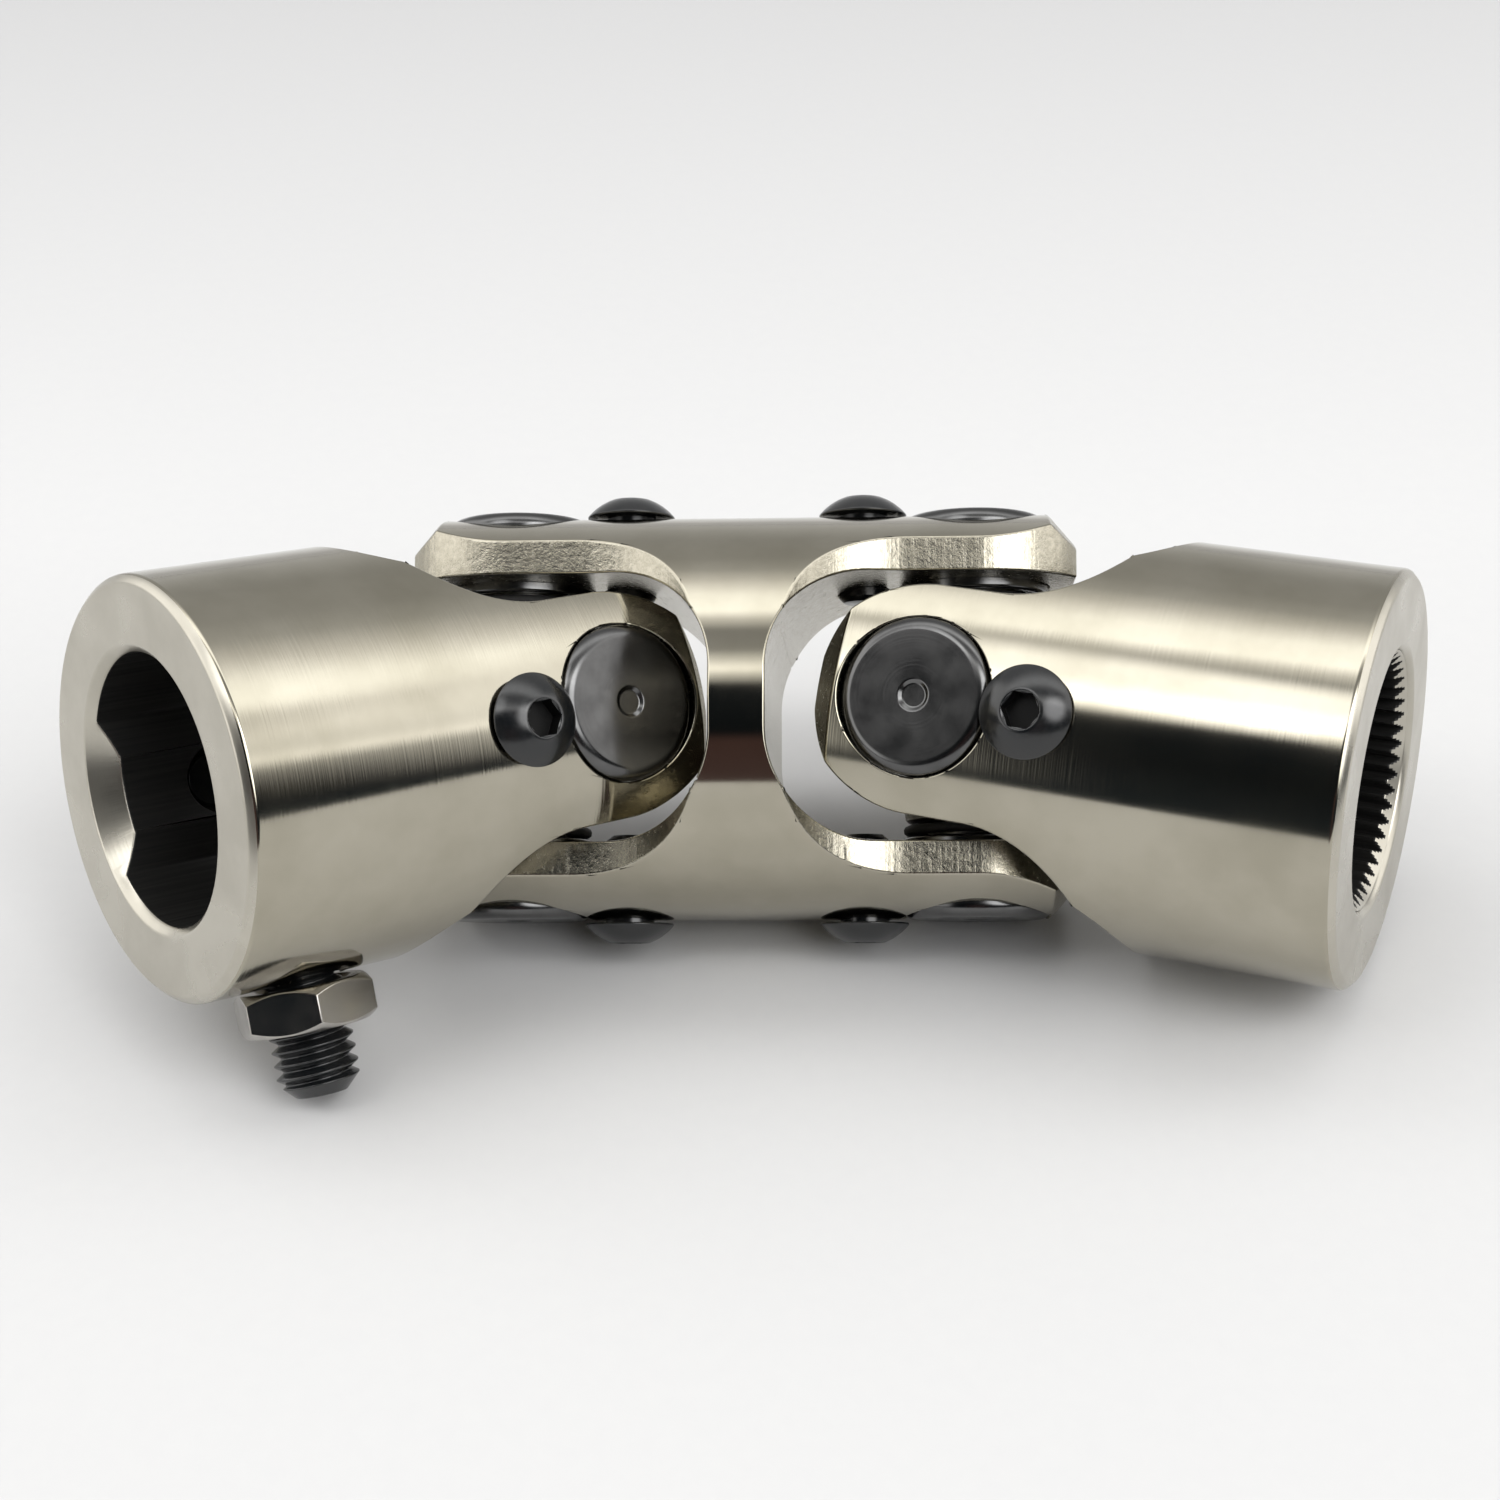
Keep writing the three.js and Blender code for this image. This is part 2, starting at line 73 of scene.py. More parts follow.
# The pit in a cap's face, from its rim to its floor: radius and depth.
CAP_PIT = ((1.62, 0), (1.5, 0), (1.42, 0.03), (1.2, 0.26), (1.12, 0.3), (1, 0.3), (0, 0.3))
CAP_HOLE_RADIUS = 7.45
PLAY = 0.3                          # beside the needles and past a trunnion's end
TRUNNION_RADIUS, TRUNNION_CHAMFER = 4.7, 0.5
TRUNNION_END = BODY_RADIUS - CAP_FLOOR - PLAY
ARM_RADIUS, ARM_CHAMFER, ARM_SHOULDER = 7, 0.4, 10.4
BOSS_RADIUS, BOSS_CHAMFER, BOSS_REACH = 8.8, 0.6, 5
NEEDLES, NEEDLE_RADIUS, NEEDLE_ROUNDING, NEEDLE_START = 26, 0.56, 0.2, 12.2
NEEDLE_TRACK = (TRUNNION_RADIUS + PLAY, CAP_RADIUS - CAP_WALL - PLAY)
# A seal's cross section: radius and height.
SEAL_SECTION = (
    (5.15, 10.85), (5.4, 10.72), (6.7, 10.7), (7.0, 10.85), (7.1, 11.1),
    (7.05, 11.45), (6.85, 11.6), (5.6, 11.58), (5.25, 11.5), (5.0, 11.2))
SCREW_OFFSET, SCREW_RADIUS, SCREW_TIP = 10.95, 2.4, 11.5
SCREW_CHAMFER = 0.5
SCREW_HOLE_RADIUS = 2.6
HEAD_RADIUS, HEAD_HEIGHT, HEAD_SEAT = 4.35, 1.9, 20.15
HEAD_RIM, HEAD_CROWN = 0.15, 1.95
HEAD_UNDERCUT, HEAD_STEPS = 0.08, 14
HEAD_SOCKET, HEAD_SOCKET_DEPTH = 3.18, 1.6
SOCKET_LEAD, SOCKET_LEAD_NARROW, SOCKET_LEAD_WIDE = 0.12, 0.1, 0.34
# Where a socket's faces lie: nearer its axis than this, and no further below its floor.
SOCKET_REACH, SOCKET_MARGIN = HEAD_SOCKET / 2 + 0.26, 0.1
DD_RADIUS, DD_FLAT, DD_PILOT, DD_MOUTH = 12.7, 10.4, 11, 13.5
TEETH, TOOTH_ROOT, TOOTH_CREST, SPLINE_MOUTH = 48, 12.1, 11.2, 12.85
TOOTH_LAND = 0.08                   # flat share of half a tooth, at its crest and at its root
LINER_WALL, LINER_OVERLAP, LINER_MARGIN = 0.2, 0.5, 0.1
END_TO_SET_SCREW = 11.3
TAPPED_RADIUS, TAPPED_CHAMFER = 4.1, 0.3
SET_RADIUS, SET_THREAD, SET_PITCH, SET_POINT, SET_HEAD = 3.9, 0.75, 1.27, 12.2, 30.6
END_TO_FLAT_SCREW = 12.5
FLAT_SCREW_POINT, FLAT_SCREW_HEAD = 12.9, 19.2
LEAD_RADIUS, LEAD_DEPTH, LEAD_OVERLAP = 3.45, 12.6, 0.1
THREAD_SLOPE, THREAD_CREST = 1.25, 0.12
POINT_DROP, POINT_SLOPE, HEAD_DROP = 1.5, 1.2, 1.45
SET_SOCKET, SET_SOCKET_DEPTH = 3.97, 3.5
NUT_ACROSS, NUT_SEAT, NUT_HEIGHT, NUT_BEVEL = 12, 20.15, 4.2, 0.85
NUT_FACE_STEP, NUT_CORNER_CLEARANCE = 0.2, 0.1
NUT_HOLE_RADIUS, NUT_LEAD = SET_RADIUS + 0.1, 0.7
NUT_TURN = -14                      # where its corners lie, in degrees

BODY_SIDES = 288
HOLE_SIDES = 128
ROUND_SIDES = 96
SCREW_SIDES = 64
THREAD_SIDES, THREAD_STEPS = 48, 16
NEEDLE_SIDES = 12
TOOTH_SIDES, MOUTH_STEPS = 8, 24
ARC_STEPS, CAP_EDGE_STEPS = 40, 10
RING_SPACING = 1.5
OVERRUN, SHORT_OVERRUN, FLANK_OVERRUN = 3, 1, 0.5      # how far cutters reach past a surface
# Rounding left on edges.
EDGE_BREAK, SCREW_EDGE_BREAK, NUT_EDGE_BREAK, CROSS_EDGE_BREAK = 0.2, 0.04, 0.12, 0.5
SHARP_EDGE = 28                     # an edge that turns by more degrees than this is rounded
ROUND_TOLERANCE = 0.02
ROUND_AGREEMENT = 0.94              # cosine between a face's normal and the cylinder's

# ---------------------------------------------------------------- frames

JOINTS = {joint["name"]: joint for joint in frame["record"]["behaviour"]["joints"]}
MOUNTS = {mount["name"]: mount for mount in frame["record"]["mounts"]}


def frame_matrix(origin, x, z):
    """The frame at that origin (metres) with that Z axis, and X as near to x as it can be."""
    z = Vector(z).normalized()
    y = z.cross(Vector(x)).normalized()
    x = y.cross(z)
    rotation = Matrix((x, y, z)).transposed()
    return Matrix.Translation(Vector(origin)) @ rotation.to_4x4()


DD_CENTRE = Vector(JOINTS["dd_swing"]["pos_m"])
SPLINE_CENTRE = Vector(JOINTS["spline_swing"]["pos_m"])
ALONG = (SPLINE_CENTRE - DD_CENTRE).normalized()
TRUNNIONS = Vector(JOINTS["dd_swing"]["axis"])
COUPLER_FRAME = frame_matrix((DD_CENTRE + SPLINE_CENTRE) / 2, ALONG, TRUNNIONS)
FORKS = {
    "dd_coupler": frame_matrix(DD_CENTRE, ALONG, TRUNNIONS),
    "spline_coupler": frame_matrix(SPLINE_CENTRE, -ALONG, TRUNNIONS),
    "dd_yoke": frame_matrix(DD_CENTRE, MOUNTS["dd_end_face"]["axis"], JOINTS["dd_dip"]["axis"]),
    "spline_yoke": frame_matrix(
        SPLINE_CENTRE, MOUNTS["spline_end_face"]["axis"], JOINTS["spline_dip"]["axis"]),
}
# The names of the two ears of each fork: on its +Z side and on its -Z side.
EARS = {
    "dd_coupler": ("dd_coupler_top", "dd_coupler_bottom"),
    "spline_coupler": ("spline_coupler_top", "spline_coupler_bottom"),
    "dd_yoke": ("dd_yoke_front", "dd_yoke_rear"),
    "spline_yoke": ("spline_yoke_rear", "spline_yoke_front"),
}
FORK_BODY = {
    "dd_coupler": "coupler", "spline_coupler": "coupler",
    "dd_yoke": "yoke_dd", "spline_yoke": "yoke_spline",
}
FLIP = Matrix.Rotation(math.pi, 4, "X")


def shift(x=0, y=0, z=0):
    return Matrix.Translation((x * MM, y * MM, z * MM))


# ---------------------------------------------------------------- mesh tools


def new_object(vertices, faces):
    """A mesh object from millimetre points, with its faces pointing out."""
    mesh = bpy.data.meshes.new("shape")
    mesh.from_pydata([[value * MM for value in vertex] for vertex in vertices], [], faces)
    edit = bmesh.new()
    edit.from_mesh(mesh)
    bmesh.ops.recalc_face_normals(edit, faces=edit.faces)
    edit.to_mesh(mesh)
    edit.free()
    shape = bpy.data.objects.new("shape", mesh)
    bpy.context.collection.objects.link(shape)
    return shape


def along(axis, vertices):
    """Points built along Z, turned to run along another axis."""
    if axis == "X":
        return [(z, x, y) for x, y, z in vertices]
    if axis == "Y":
        return [(x, -z, y) for x, y, z in vertices]
    return vertices


def lathe(profile, sides, axis="Z", closed=False):
    """Turns [radius, height] points about an axis; they end on it, or close into a ring."""
    vertices, rings = [], []
    for radius, height in profile:
        start = len(vertices)
        if radius == 0:
            vertices.append((0, 0, height))
            rings.append([start] * sides)
            continue
        for side in range(sides):
            turn = 2 * math.pi * side / sides
            vertices.append((radius * math.cos(turn), radius * math.sin(turn), height))
        rings.append(list(range(start, start + sides)))
    if closed:
        rings.append(rings[0])
    faces = []
    for low, high in zip(rings, rings[1:]):
        for side in range(sides):
            after = (side + 1) % sides
            corners = [low[side], low[after], high[after], high[side]]
            faces.append(list(dict.fromkeys(corners)))
    return new_object(along(axis, vertices), faces)


def extrude(outline, low, high, axis="Z"):
    """A prism of an outline drawn in XY, or in XZ for axis Y and YZ for axis X."""
    count = len(outline)
    vertices = [(x, y, low) for x, y in outline] + [(x, y, high) for x, y in outline]
    faces = [list(reversed(range(count))), list(range(count, 2 * count))]
    for index in range(count):
        after = (index + 1) % count
        faces.append([index, after, count + after, count + index])
    return new_object(along(axis, vertices), faces)


def arc(x, y, radius, start, end, steps=ARC_STEPS):
    """Points of an arc about (x, y), from one angle to another in degrees."""
    turns = [math.radians(start + (end - start) * step / steps) for step in range(steps + 1)]
    return [(x + radius * math.cos(turn), y + radius * math.sin(turn)) for turn in turns]


def rod(radius, low, high, sides=HOLE_SIDES, axis="Z"):
    return lathe([(0, low), (radius, low), (radius, high), (0, high)], sides, axis)


def hex_prism(across_flats, low, high):
    corner = across_flats / math.sqrt(3)
    return extrude(arc(0, 0, corner, 0, 300, 5), low, high)


def moved(shape, matrix):
    shape.data.transform(matrix)
    return shape


def apply_modifiers(shape):
    graph = bpy.context.evaluated_depsgraph_get()
    mesh = bpy.data.meshes.new_from_object(shape.evaluated_get(graph))
    shape.modifiers.clear()
    shape.data = mesh


def boolean(shape, others, operation="DIFFERENCE"):
    """Cuts the others from the shape, or joins them to it, and removes them."""
    for other in others:
        step = shape.modifiers.new("boolean", "BOOLEAN")
        step.operation = operation
        step.solver = "MANIFOLD"
        step.object = other
    apply_modifiers(shape)
    for other in others:
        bpy.data.objects.remove(other)
    return shape


def merge_short_edges(shape, length):
    edit = bmesh.new()
    edit.from_mesh(shape.data)
    bmesh.ops.remove_doubles(edit, verts=edit.verts, dist=length * MM)
    bmesh.ops.dissolve_degenerate(edit, edges=edit.edges, dist=length * MM / 2)
    edit.to_mesh(shape.data)
    edit.free()


def soften(shape, width, segments=2):
    """Rounds the sharp edges and smooths the shading."""
    merge_short_edges(shape, width / 4)
    rounding = shape.modifiers.new("edge break", "BEVEL")
    rounding.width = width * MM
    rounding.segments = segments
    rounding.limit_method = "ANGLE"
    rounding.angle_limit = math.radians(SHARP_EDGE)
    rounding.use_clamp_overlap = False
    rounding.loop_slide = False
    smooth(shape)
    return shape


def smooth(shape):
    """Smooth shading that keeps flat faces flat."""
    for polygon in shape.data.polygons:
        polygon.use_smooth = True
    shading = shape.modifiers.new("shading", "WEIGHTED_NORMAL")
    shading.mode = "FACE_AREA"
    shading.weight = 50
    apply_modifiers(shape)
    return shape


def true_rounds(shape, rounds):
    """Gives cut cylinders their exact normals, so that the cuts beside them leave no marks.

    Each round is a point on its axis, the axis's direction and the radius, in millimetres.
    """
    mesh = shape.data
    normals = np.array([corner.vector for corner in mesh.corner_normals])
    places = np.array([vertex.co for vertex in mesh.vertices]) / MM
    owners = np.array([loop.vertex_index for loop in mesh.loops])
    facing = np.zeros_like(normals)
    for polygon in mesh.polygons:
        facing[polygon.loop_start:polygon.loop_start + polygon.loop_total] = polygon.normal
    for point, axis, radius in rounds:
        away = places - point
        away -= np.outer(away @ axis, axis)
        reach = np.linalg.norm(away, axis=1)
        near = np.abs(reach - radius) < ROUND_TOLERANCE
        outward = (away / np.maximum(reach, ROUND_TOLERANCE)[:, None])[owners]
        agree = np.einsum("ij,ij->i", outward, facing)
        on_round = near[owners] & (np.abs(agree) > ROUND_AGREEMENT)
        normals[on_round] = (outward * np.sign(agree)[:, None])[on_round]
    mesh.normals_split_custom_set(normals.tolist())


def join(shapes):
    """One object from several that share a frame."""
    edit = bmesh.new()
    for shape in shapes:
        edit.from_mesh(shape.data)
    mesh = bpy.data.meshes.new("joined")
    edit.to_mesh(mesh)
    edit.free()
    shapes[0].data = mesh
    for shape in shapes[1:]:
        bpy.data.objects.remove(shape)
    return shapes[0]


def place(shape, node, matrix, body, materials):
    """Names a finished shape, puts it where its CAD node is and lets it stand for that node."""
    shape.name = f"{node}_detail"
    shape.data.name = shape.name
    shape.matrix_world = matrix
    # The cuts leave an empty slot, and clearing it resets each face's finish, so these are kept.
    finishes = [polygon.material_index for polygon in shape.data.polygons]
    shape.data.materials.clear()
    for material in materials:
        shape.data.materials.append(material)
    shape.data.polygons.foreach_set("material_index", finishes)
    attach(shape, body)
    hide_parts(node)


# ---------------------------------------------------------------- materials


NOISE_RANGE = (0.3, 0.7)            # where nearly all of a noise's values lie


class Nodes:
    """The node tree of a material or world, with short calls that add and link nodes."""

    def __init__(self, owner):
        owner.use_nodes = True
        self.owner = owner
        self.tree = owner.node_tree

    def add(self, kind, values=None, **settings):
        node = self.tree.nodes.new(kind)
        for key, value in settings.items():
            setattr(node, key, value)
        for socket, value in (values or {}).items():
            if isinstance(value, bpy.types.NodeSocket):
                self.tree.links.new(value, node.inputs[socket])
            else:
                node.inputs[socket].default_value = value
        return node

    def math(self, operation, first, second=0.0):
        return self.add("ShaderNodeMath", {0: first, 1: second}, operation=operation).outputs[0]

    def stretched_noise(self, scale, detail=3, roughness=0.55):
        """Noise in object space, with its own scale along each axis, in waves a metre."""
        point = self.add("ShaderNodeTexCoord").outputs["Object"]
        spread = self.add("ShaderNodeVectorMath", {0: point, 1: scale}, operation="MULTIPLY")
        noise = self.add("ShaderNodeTexNoise", {
            "Vector": spread.outputs[0], "Scale": 1, "Detail": detail, "Roughness": roughness})
        return noise.outputs["Fac"]

    def radial_noise(self, scale, axis):
        """Noise that changes only with the distance from an axis of the object."""
        point = self.add("ShaderNodeTexCoord").outputs["Object"]
        keep = {"X": (0, 1, 1), "Z": (1, 1, 0)}[axis]
        flat = self.add("ShaderNodeVectorMath", {0: point, 1: keep}, operation="MULTIPLY")
        reach = self.add("ShaderNodeVectorMath", {0: flat.outputs[0]}, operation="LENGTH")
        waves = self.math("MULTIPLY", reach.outputs["Value"], scale)
        noise = self.add("ShaderNodeTexNoise", {
            "W": waves, "Scale": 1, "Detail": 3}, noise_dimensions="1D")
        return noise.outputs["Fac"]

    def spread(self, value, low, high, to_low, to_high):
        """The value's range from low to high, mapped to another."""
        return self.add("ShaderNodeMapRange", {
            "Value": value, "From Min": low, "From Max": high,
            "To Min": to_low, "To Max": to_high}).outputs["Result"]

    def rough(self, value, least, most):
        """Roughness that follows a noise."""
        return self.spread(value, *NOISE_RANGE, least, most)

    def fade(self, value, start, end):
        """0 at start and 1 at end, smooth between."""
        return self.add("ShaderNodeMapRange", {
            "Value": value, "From Min": start, "From Max": end},
            interpolation_type="SMOOTHSTEP").outputs["Result"]

    def blend(self, factor, first, second, kind="MIX"):
        """Mixes two colours, or adds the second to the first."""
        first, second = [
            colour if isinstance(colour, bpy.types.NodeSocket) else (*colour, 1)
            for colour in (first, second)]
        return self.add("ShaderNodeMix", {0: factor, 6: first, 7: second},
                        data_type="RGBA", blend_type=kind).outputs[2]

    def mottled(self, value, low, high, colours):
        """Two colours, blended as the value goes from low to high."""
        return self.blend(self.spread(value, low, high, 0, 1), *colours)

    def bump(self, height, depth):
        """A bump with its depth in millimetres."""
        return self.add("ShaderNodeBump", {
            "Height": height, "Distance": depth * MM, "Strength": 1}).outputs["Normal"]

    def finish(self, metallic=1.0, **sockets):
        """Sets or links the shader's sockets and gives the material."""
        shader = self.tree.nodes["Principled BSDF"]
        shader.inputs["Metallic"].default_value = metallic
        for name, value in sockets.items():
            socket = shader.inputs[name.replace("_", " ")]
            if isinstance(value, bpy.types.NodeSocket):
                self.tree.links.new(value, socket)
            else:
                socket.default_value = value
        return self.owner


def material_nodes(name):
    return Nodes(bpy.data.materials.new(name))


# The two colours that each finish varies between.
NICKEL_COLOURS = ((0.435, 0.408, 0.335), (0.365, 0.341, 0.272))
FACE_COLOURS = ((0.52, 0.495, 0.43), (0.45, 0.427, 0.367))
# Bores: near black, painted shade deep inside them.
BORE_SHADE_COLOURS = ((0.016, 0.0155, 0.0145), (0.004, 0.004, 0.004))
CUP_COLOURS = ((0.132, 0.132, 0.132), (0.096, 0.096, 0.096))
OXIDE_COLOURS = ((0.005, 0.006, 0.007), (0.012, 0.012, 0.012))
# Sockets: darker than the oxide, painted shade inside them.
SOCKET_SHADE_COLOURS = ((0.003, 0.003, 0.003), (0.006, 0.006, 0.006))
ZINC_COLOURS = ((0.50, 0.48, 0.45), (0.38, 0.365, 0.34))
FORGED_COLOURS = ((0.40, 0.39, 0.37), (0.25, 0.24, 0.23))
NEEDLE_COLOURS = ((0.76, 0.76, 0.77), (0.66, 0.66, 0.68))
RUBBER_COLOURS = ((0.015, 0.015, 0.016), (0.035, 0.034, 0.033))
PAPER_COLOURS = ((0.635, 0.635, 0.635), (0.615, 0.615, 0.62))
# The paper far back, darkened as painted shade where the light falls off.
FAR_PAPER_SHADE = (0.42, 0.42, 0.425)


def turned_nickel():
    """Satin nickel over fine turning marks that run round the X axis."""
    nodes = material_nodes("turned_nickel")
    fine = nodes.stretched_noise((5200, 40, 40))
    bands = nodes.stretched_noise((700, 12, 12), detail=2)
    stain = nodes.stretched_noise((90, 90, 90), detail=4)
    marks = nodes.math("ADD", nodes.math("MULTIPLY", fine, 0.7), nodes.math("MULTIPLY", bands, 0.6))
    return nodes.finish(
        Base_Color=nodes.mottled(stain, 0.35, 0.65, NICKEL_COLOURS),
        Roughness=nodes.rough(stain, least=0.08, most=0.13),
        Normal=nodes.bump(marks, depth=0.007))


def faced_nickel():
    """End faces, with rings from the facing cut."""
    nodes = material_nodes("faced_nickel")
    rings = nodes.radial_noise(4200, "X")
    stain = nodes.stretched_noise((120, 120, 120), detail=4)
    return nodes.finish(
        Base_Color=nodes.mottled(stain, 0.35, 0.65, FACE_COLOURS),
        Roughness=nodes.rough(stain, least=0.24, most=0.34),
        Normal=nodes.bump(rings, depth=0.005))


def milled_nickel():
    """Slot walls and ear sides, with blotchy cutter marks."""
    nodes = material_nodes("milled_nickel")
    blotch = nodes.stretched_noise((1500, 1500, 1500), detail=5, roughness=0.7)
    chatter = nodes.stretched_noise((1900, 1900, 90), detail=2)
    marks = nodes.math(
        "ADD", nodes.math("MULTIPLY", blotch, 0.9), nodes.math("MULTIPLY", chatter, 0.7))
    return nodes.finish(
        Base_Color=nodes.mottled(blotch, 0.35, 0.68, NICKEL_COLOURS),
        Roughness=nodes.rough(blotch, least=0.14, most=0.3),
        Normal=nodes.bump(marks, depth=0.045))


def bore_painted_shade():
    """Inside of the bores, painted near black as their shade, with lines along the broach."""
    nodes = material_nodes("bore_painted_shade")
    lines = nodes.stretched_noise((60, 2600, 2600), detail=3)
    return nodes.finish(
        metallic=0.0,
        Base_Color=nodes.mottled(lines, *NOISE_RANGE, BORE_SHADE_COLOURS),
        Specular_IOR_Level=0.3,
        Roughness=nodes.rough(lines, least=0.35, most=0.5),
        Normal=nodes.bump(lines, depth=0.012))


def cup_steel():
    """Dark polished cups with faint rings and an oily cast."""
    nodes = material_nodes("cup_steel")
    rings = nodes.radial_noise(5000, "Z")
    cast = nodes.stretched_noise((260, 260, 260), detail=4)
    return nodes.finish(
        Base_Color=nodes.mottled(cast, 0.35, 0.7, CUP_COLOURS),
        Roughness=nodes.rough(cast, least=0.14, most=0.26),
        Normal=nodes.bump(rings, depth=0.0025))


def black_oxide():
    """Blacked steel with a trace of oil."""
    nodes = material_nodes("black_oxide")
    grain = nodes.stretched_noise((2400, 2400, 2400), detail=4)
    wear = nodes.stretched_noise((380, 380, 380), detail=3)
    return nodes.finish(
        metallic=0.0,
        Base_Color=nodes.mottled(wear, 0.4, 0.75, OXIDE_COLOURS),
        Roughness=nodes.rough(grain, least=0.17, most=0.26),
        IOR=1.6,
        Normal=nodes.bump(grain, depth=0.0015))


def socket_painted_shade():
    """The inside of a screw's socket, darker than the oxide: painted shade, as it is unlit."""
    nodes = material_nodes("socket_painted_shade")
    grain = nodes.stretched_noise((2400, 2400, 2400), detail=3)
    return nodes.finish(
        metallic=0.0,
        Base_Color=nodes.blend(grain, *SOCKET_SHADE_COLOURS),
        Specular_IOR_Level=0.15,
        Roughness=nodes.rough(grain, least=0.35, most=0.5))


def bright_zinc():
    """The nut's plating, with drawn lines along its flats."""
    nodes = material_nodes("bright_zinc")
    lines = nodes.stretched_noise((160, 160, 3000), detail=3)
    cloud = nodes.stretched_noise((300, 300, 300), detail=3)
    return nodes.finish(
        Base_Color=nodes.mottled(cloud, 0.35, 0.65, ZINC_COLOURS),
        Roughness=nodes.rough(cloud, least=0.13, most=0.22),
        Normal=nodes.bump(lines, depth=0.002))


def forged_steel():
    """Grainy forged steel of the crosses."""
    nodes = material_nodes("ground_forging")
    grain = nodes.stretched_noise((900, 900, 900), detail=5, roughness=0.65)
    return nodes.finish(
        Base_Color=nodes.mottled(grain, *NOISE_RANGE, FORGED_COLOURS),
        Roughness=nodes.rough(grain, least=0.3, most=0.5),
        Normal=nodes.bump(grain, depth=0.02))


def ground_needles():
    nodes = material_nodes("ground_needles")
    lines = nodes.stretched_noise((300, 300, 4000), detail=2)
    return nodes.finish(
        Base_Color=nodes.blend(lines, *NEEDLE_COLOURS),
        Roughness=nodes.rough(lines, least=0.12, most=0.2),
        Normal=nodes.bump(lines, depth=0.002))


def seal_rubber():
    nodes = material_nodes("seal_rubber")
    grain = nodes.stretched_noise((1800, 1800, 1800), detail=4)
    return nodes.finish(
        metallic=0.0,
        Base_Color=nodes.mottled(grain, *NOISE_RANGE, RUBBER_COLOURS),
        Roughness=nodes.rough(grain, least=0.55, most=0.75),
        Normal=nodes.bump(grain, depth=0.01))


def white_paper():
    """The floor's paper, with painted shade that greys it towards the back."""
    nodes = material_nodes("white_paper")
    fibre = nodes.stretched_noise((500, 500, 500), detail=4)
    point = nodes.add("ShaderNodeTexCoord").outputs["Object"]
    away = nodes.add("ShaderNodeSeparateXYZ", {0: point}).outputs["Y"]
    paper = nodes.blend(fibre, *PAPER_COLOURS)
    return nodes.finish(
        metallic=0.0,
        Base_Color=nodes.mottled(away, 0.08, 0.4, (paper, FAR_PAPER_SHADE)),
        Roughness=0.8,
        Specular_IOR_Level=0.1)


TURNED, FACED, MILLED, BORED = range(4)
# The bore finish is painted with the shade inside the bores.
NICKEL = [turned_nickel(), faced_nickel(), milled_nickel(), bore_painted_shade()]
CUP, BLACK, SOCKET, ZINC = cup_steel(), black_oxide(), socket_painted_shade(), bright_zinc()
FORGED, NEEDLE, RUBBER = forged_steel(), ground_needles(), seal_rubber()
# Faces within this depth of the outside, and turned outwards this far, belong to the turned skin.
SKIN_DEPTH, SKIN_FACING = 0.4, 0.8
# The same for the end face; and the bores reach out to this radius and in to this place.
END_DEPTH, END_FACING = 3, 0.5
BORE_REACH, BORE_START = SPLINE_MOUTH + 1, SLOT_DEPTH - 2


def mark_regions(shape, has_bore):
    """Gives each face of a machined body the finish of the cut that made it; the bores' finish also
    carries painted shade.
    """
    for polygon in shape.data.polygons:
        centre = polygon.center / MM
        reach = math.hypot(centre.y, centre.z)
        outward = (polygon.normal.y * centre.y + polygon.normal.z * centre.z) / max(reach, 1)
        if reach > BODY_RADIUS - SKIN_DEPTH and outward > SKIN_FACING:
            polygon.material_index = TURNED
        elif has_bore and centre.x > YOKE_LENGTH - END_DEPTH and polygon.normal.x > END_FACING:
            polygon.material_index = FACED
        # Bore faces take the finish painted with their shade.
        elif has_bore and reach < BORE_REACH and centre.x > BORE_START:
            polygon.material_index = BORED
        else:
            polygon.material_index = MILLED


# ---------------------------------------------------------------- machined bodies

TURNED_ROUND = (Vector((0, 0, 0)), Vector((1, 0, 0)), BODY_RADIUS)


def slot_cutter():
    """The slot between a fork's ears, with rounded corners at its floor."""
    straight = SLOT_HALF_WIDTH - SLOT_CORNER
    corner_x = SLOT_DEPTH - SLOT_CORNER
    mouth = -YOKE_EAR_TIP - OVERRUN
    outline = [
        (mouth, -SLOT_HALF_WIDTH),
        *arc(corner_x, -straight, SLOT_CORNER, -90, 0),
        *arc(corner_x, straight, SLOT_CORNER, 0, 90),
        (mouth, SLOT_HALF_WIDTH),
    ]
    return extrude(outline, -BODY_RADIUS - OVERRUN, BODY_RADIUS + OVERRUN, "Y")


def flank_cutter(ear, side):
    """What is cut from one side of both ears: round the tip, then out along the flank."""
    half_width, flank_start, flank_radius = ear
    edge = BODY_RADIUS + FLANK_OVERRUN
    centre_y = half_width + flank_radius
    end = math.degrees(math.asin((edge - centre_y) / flank_radius))
    outline = [
        (-2 * BODY_RADIUS, 0),
        *arc(0, 0, half_width, 180, 90),
        *arc(flank_start, centre_y, flank_radius, -90, end),
        (-2 * BODY_RADIUS, edge),
    ]
    reach = BODY_RADIUS + OVERRUN
    return extrude([(x, side * y) for x, y in outline], -reach, reach)


def fork_cutters(ear, matrix):
    """All that is cut from a turned bar to leave one fork."""
    reach = BODY_RADIUS + OVERRUN
    cutters = [
        slot_cutter(),
        flank_cutter(ear, 1),
        flank_cutter(ear, -1),
        rod(CAP_HOLE_RADIUS, -reach, reach),
        moved(rod(SCREW_HOLE_RADIUS, -reach, reach, SCREW_SIDES), shift(SCREW_OFFSET)),
    ]
    return [moved(cutter, matrix) for cutter in cutters]


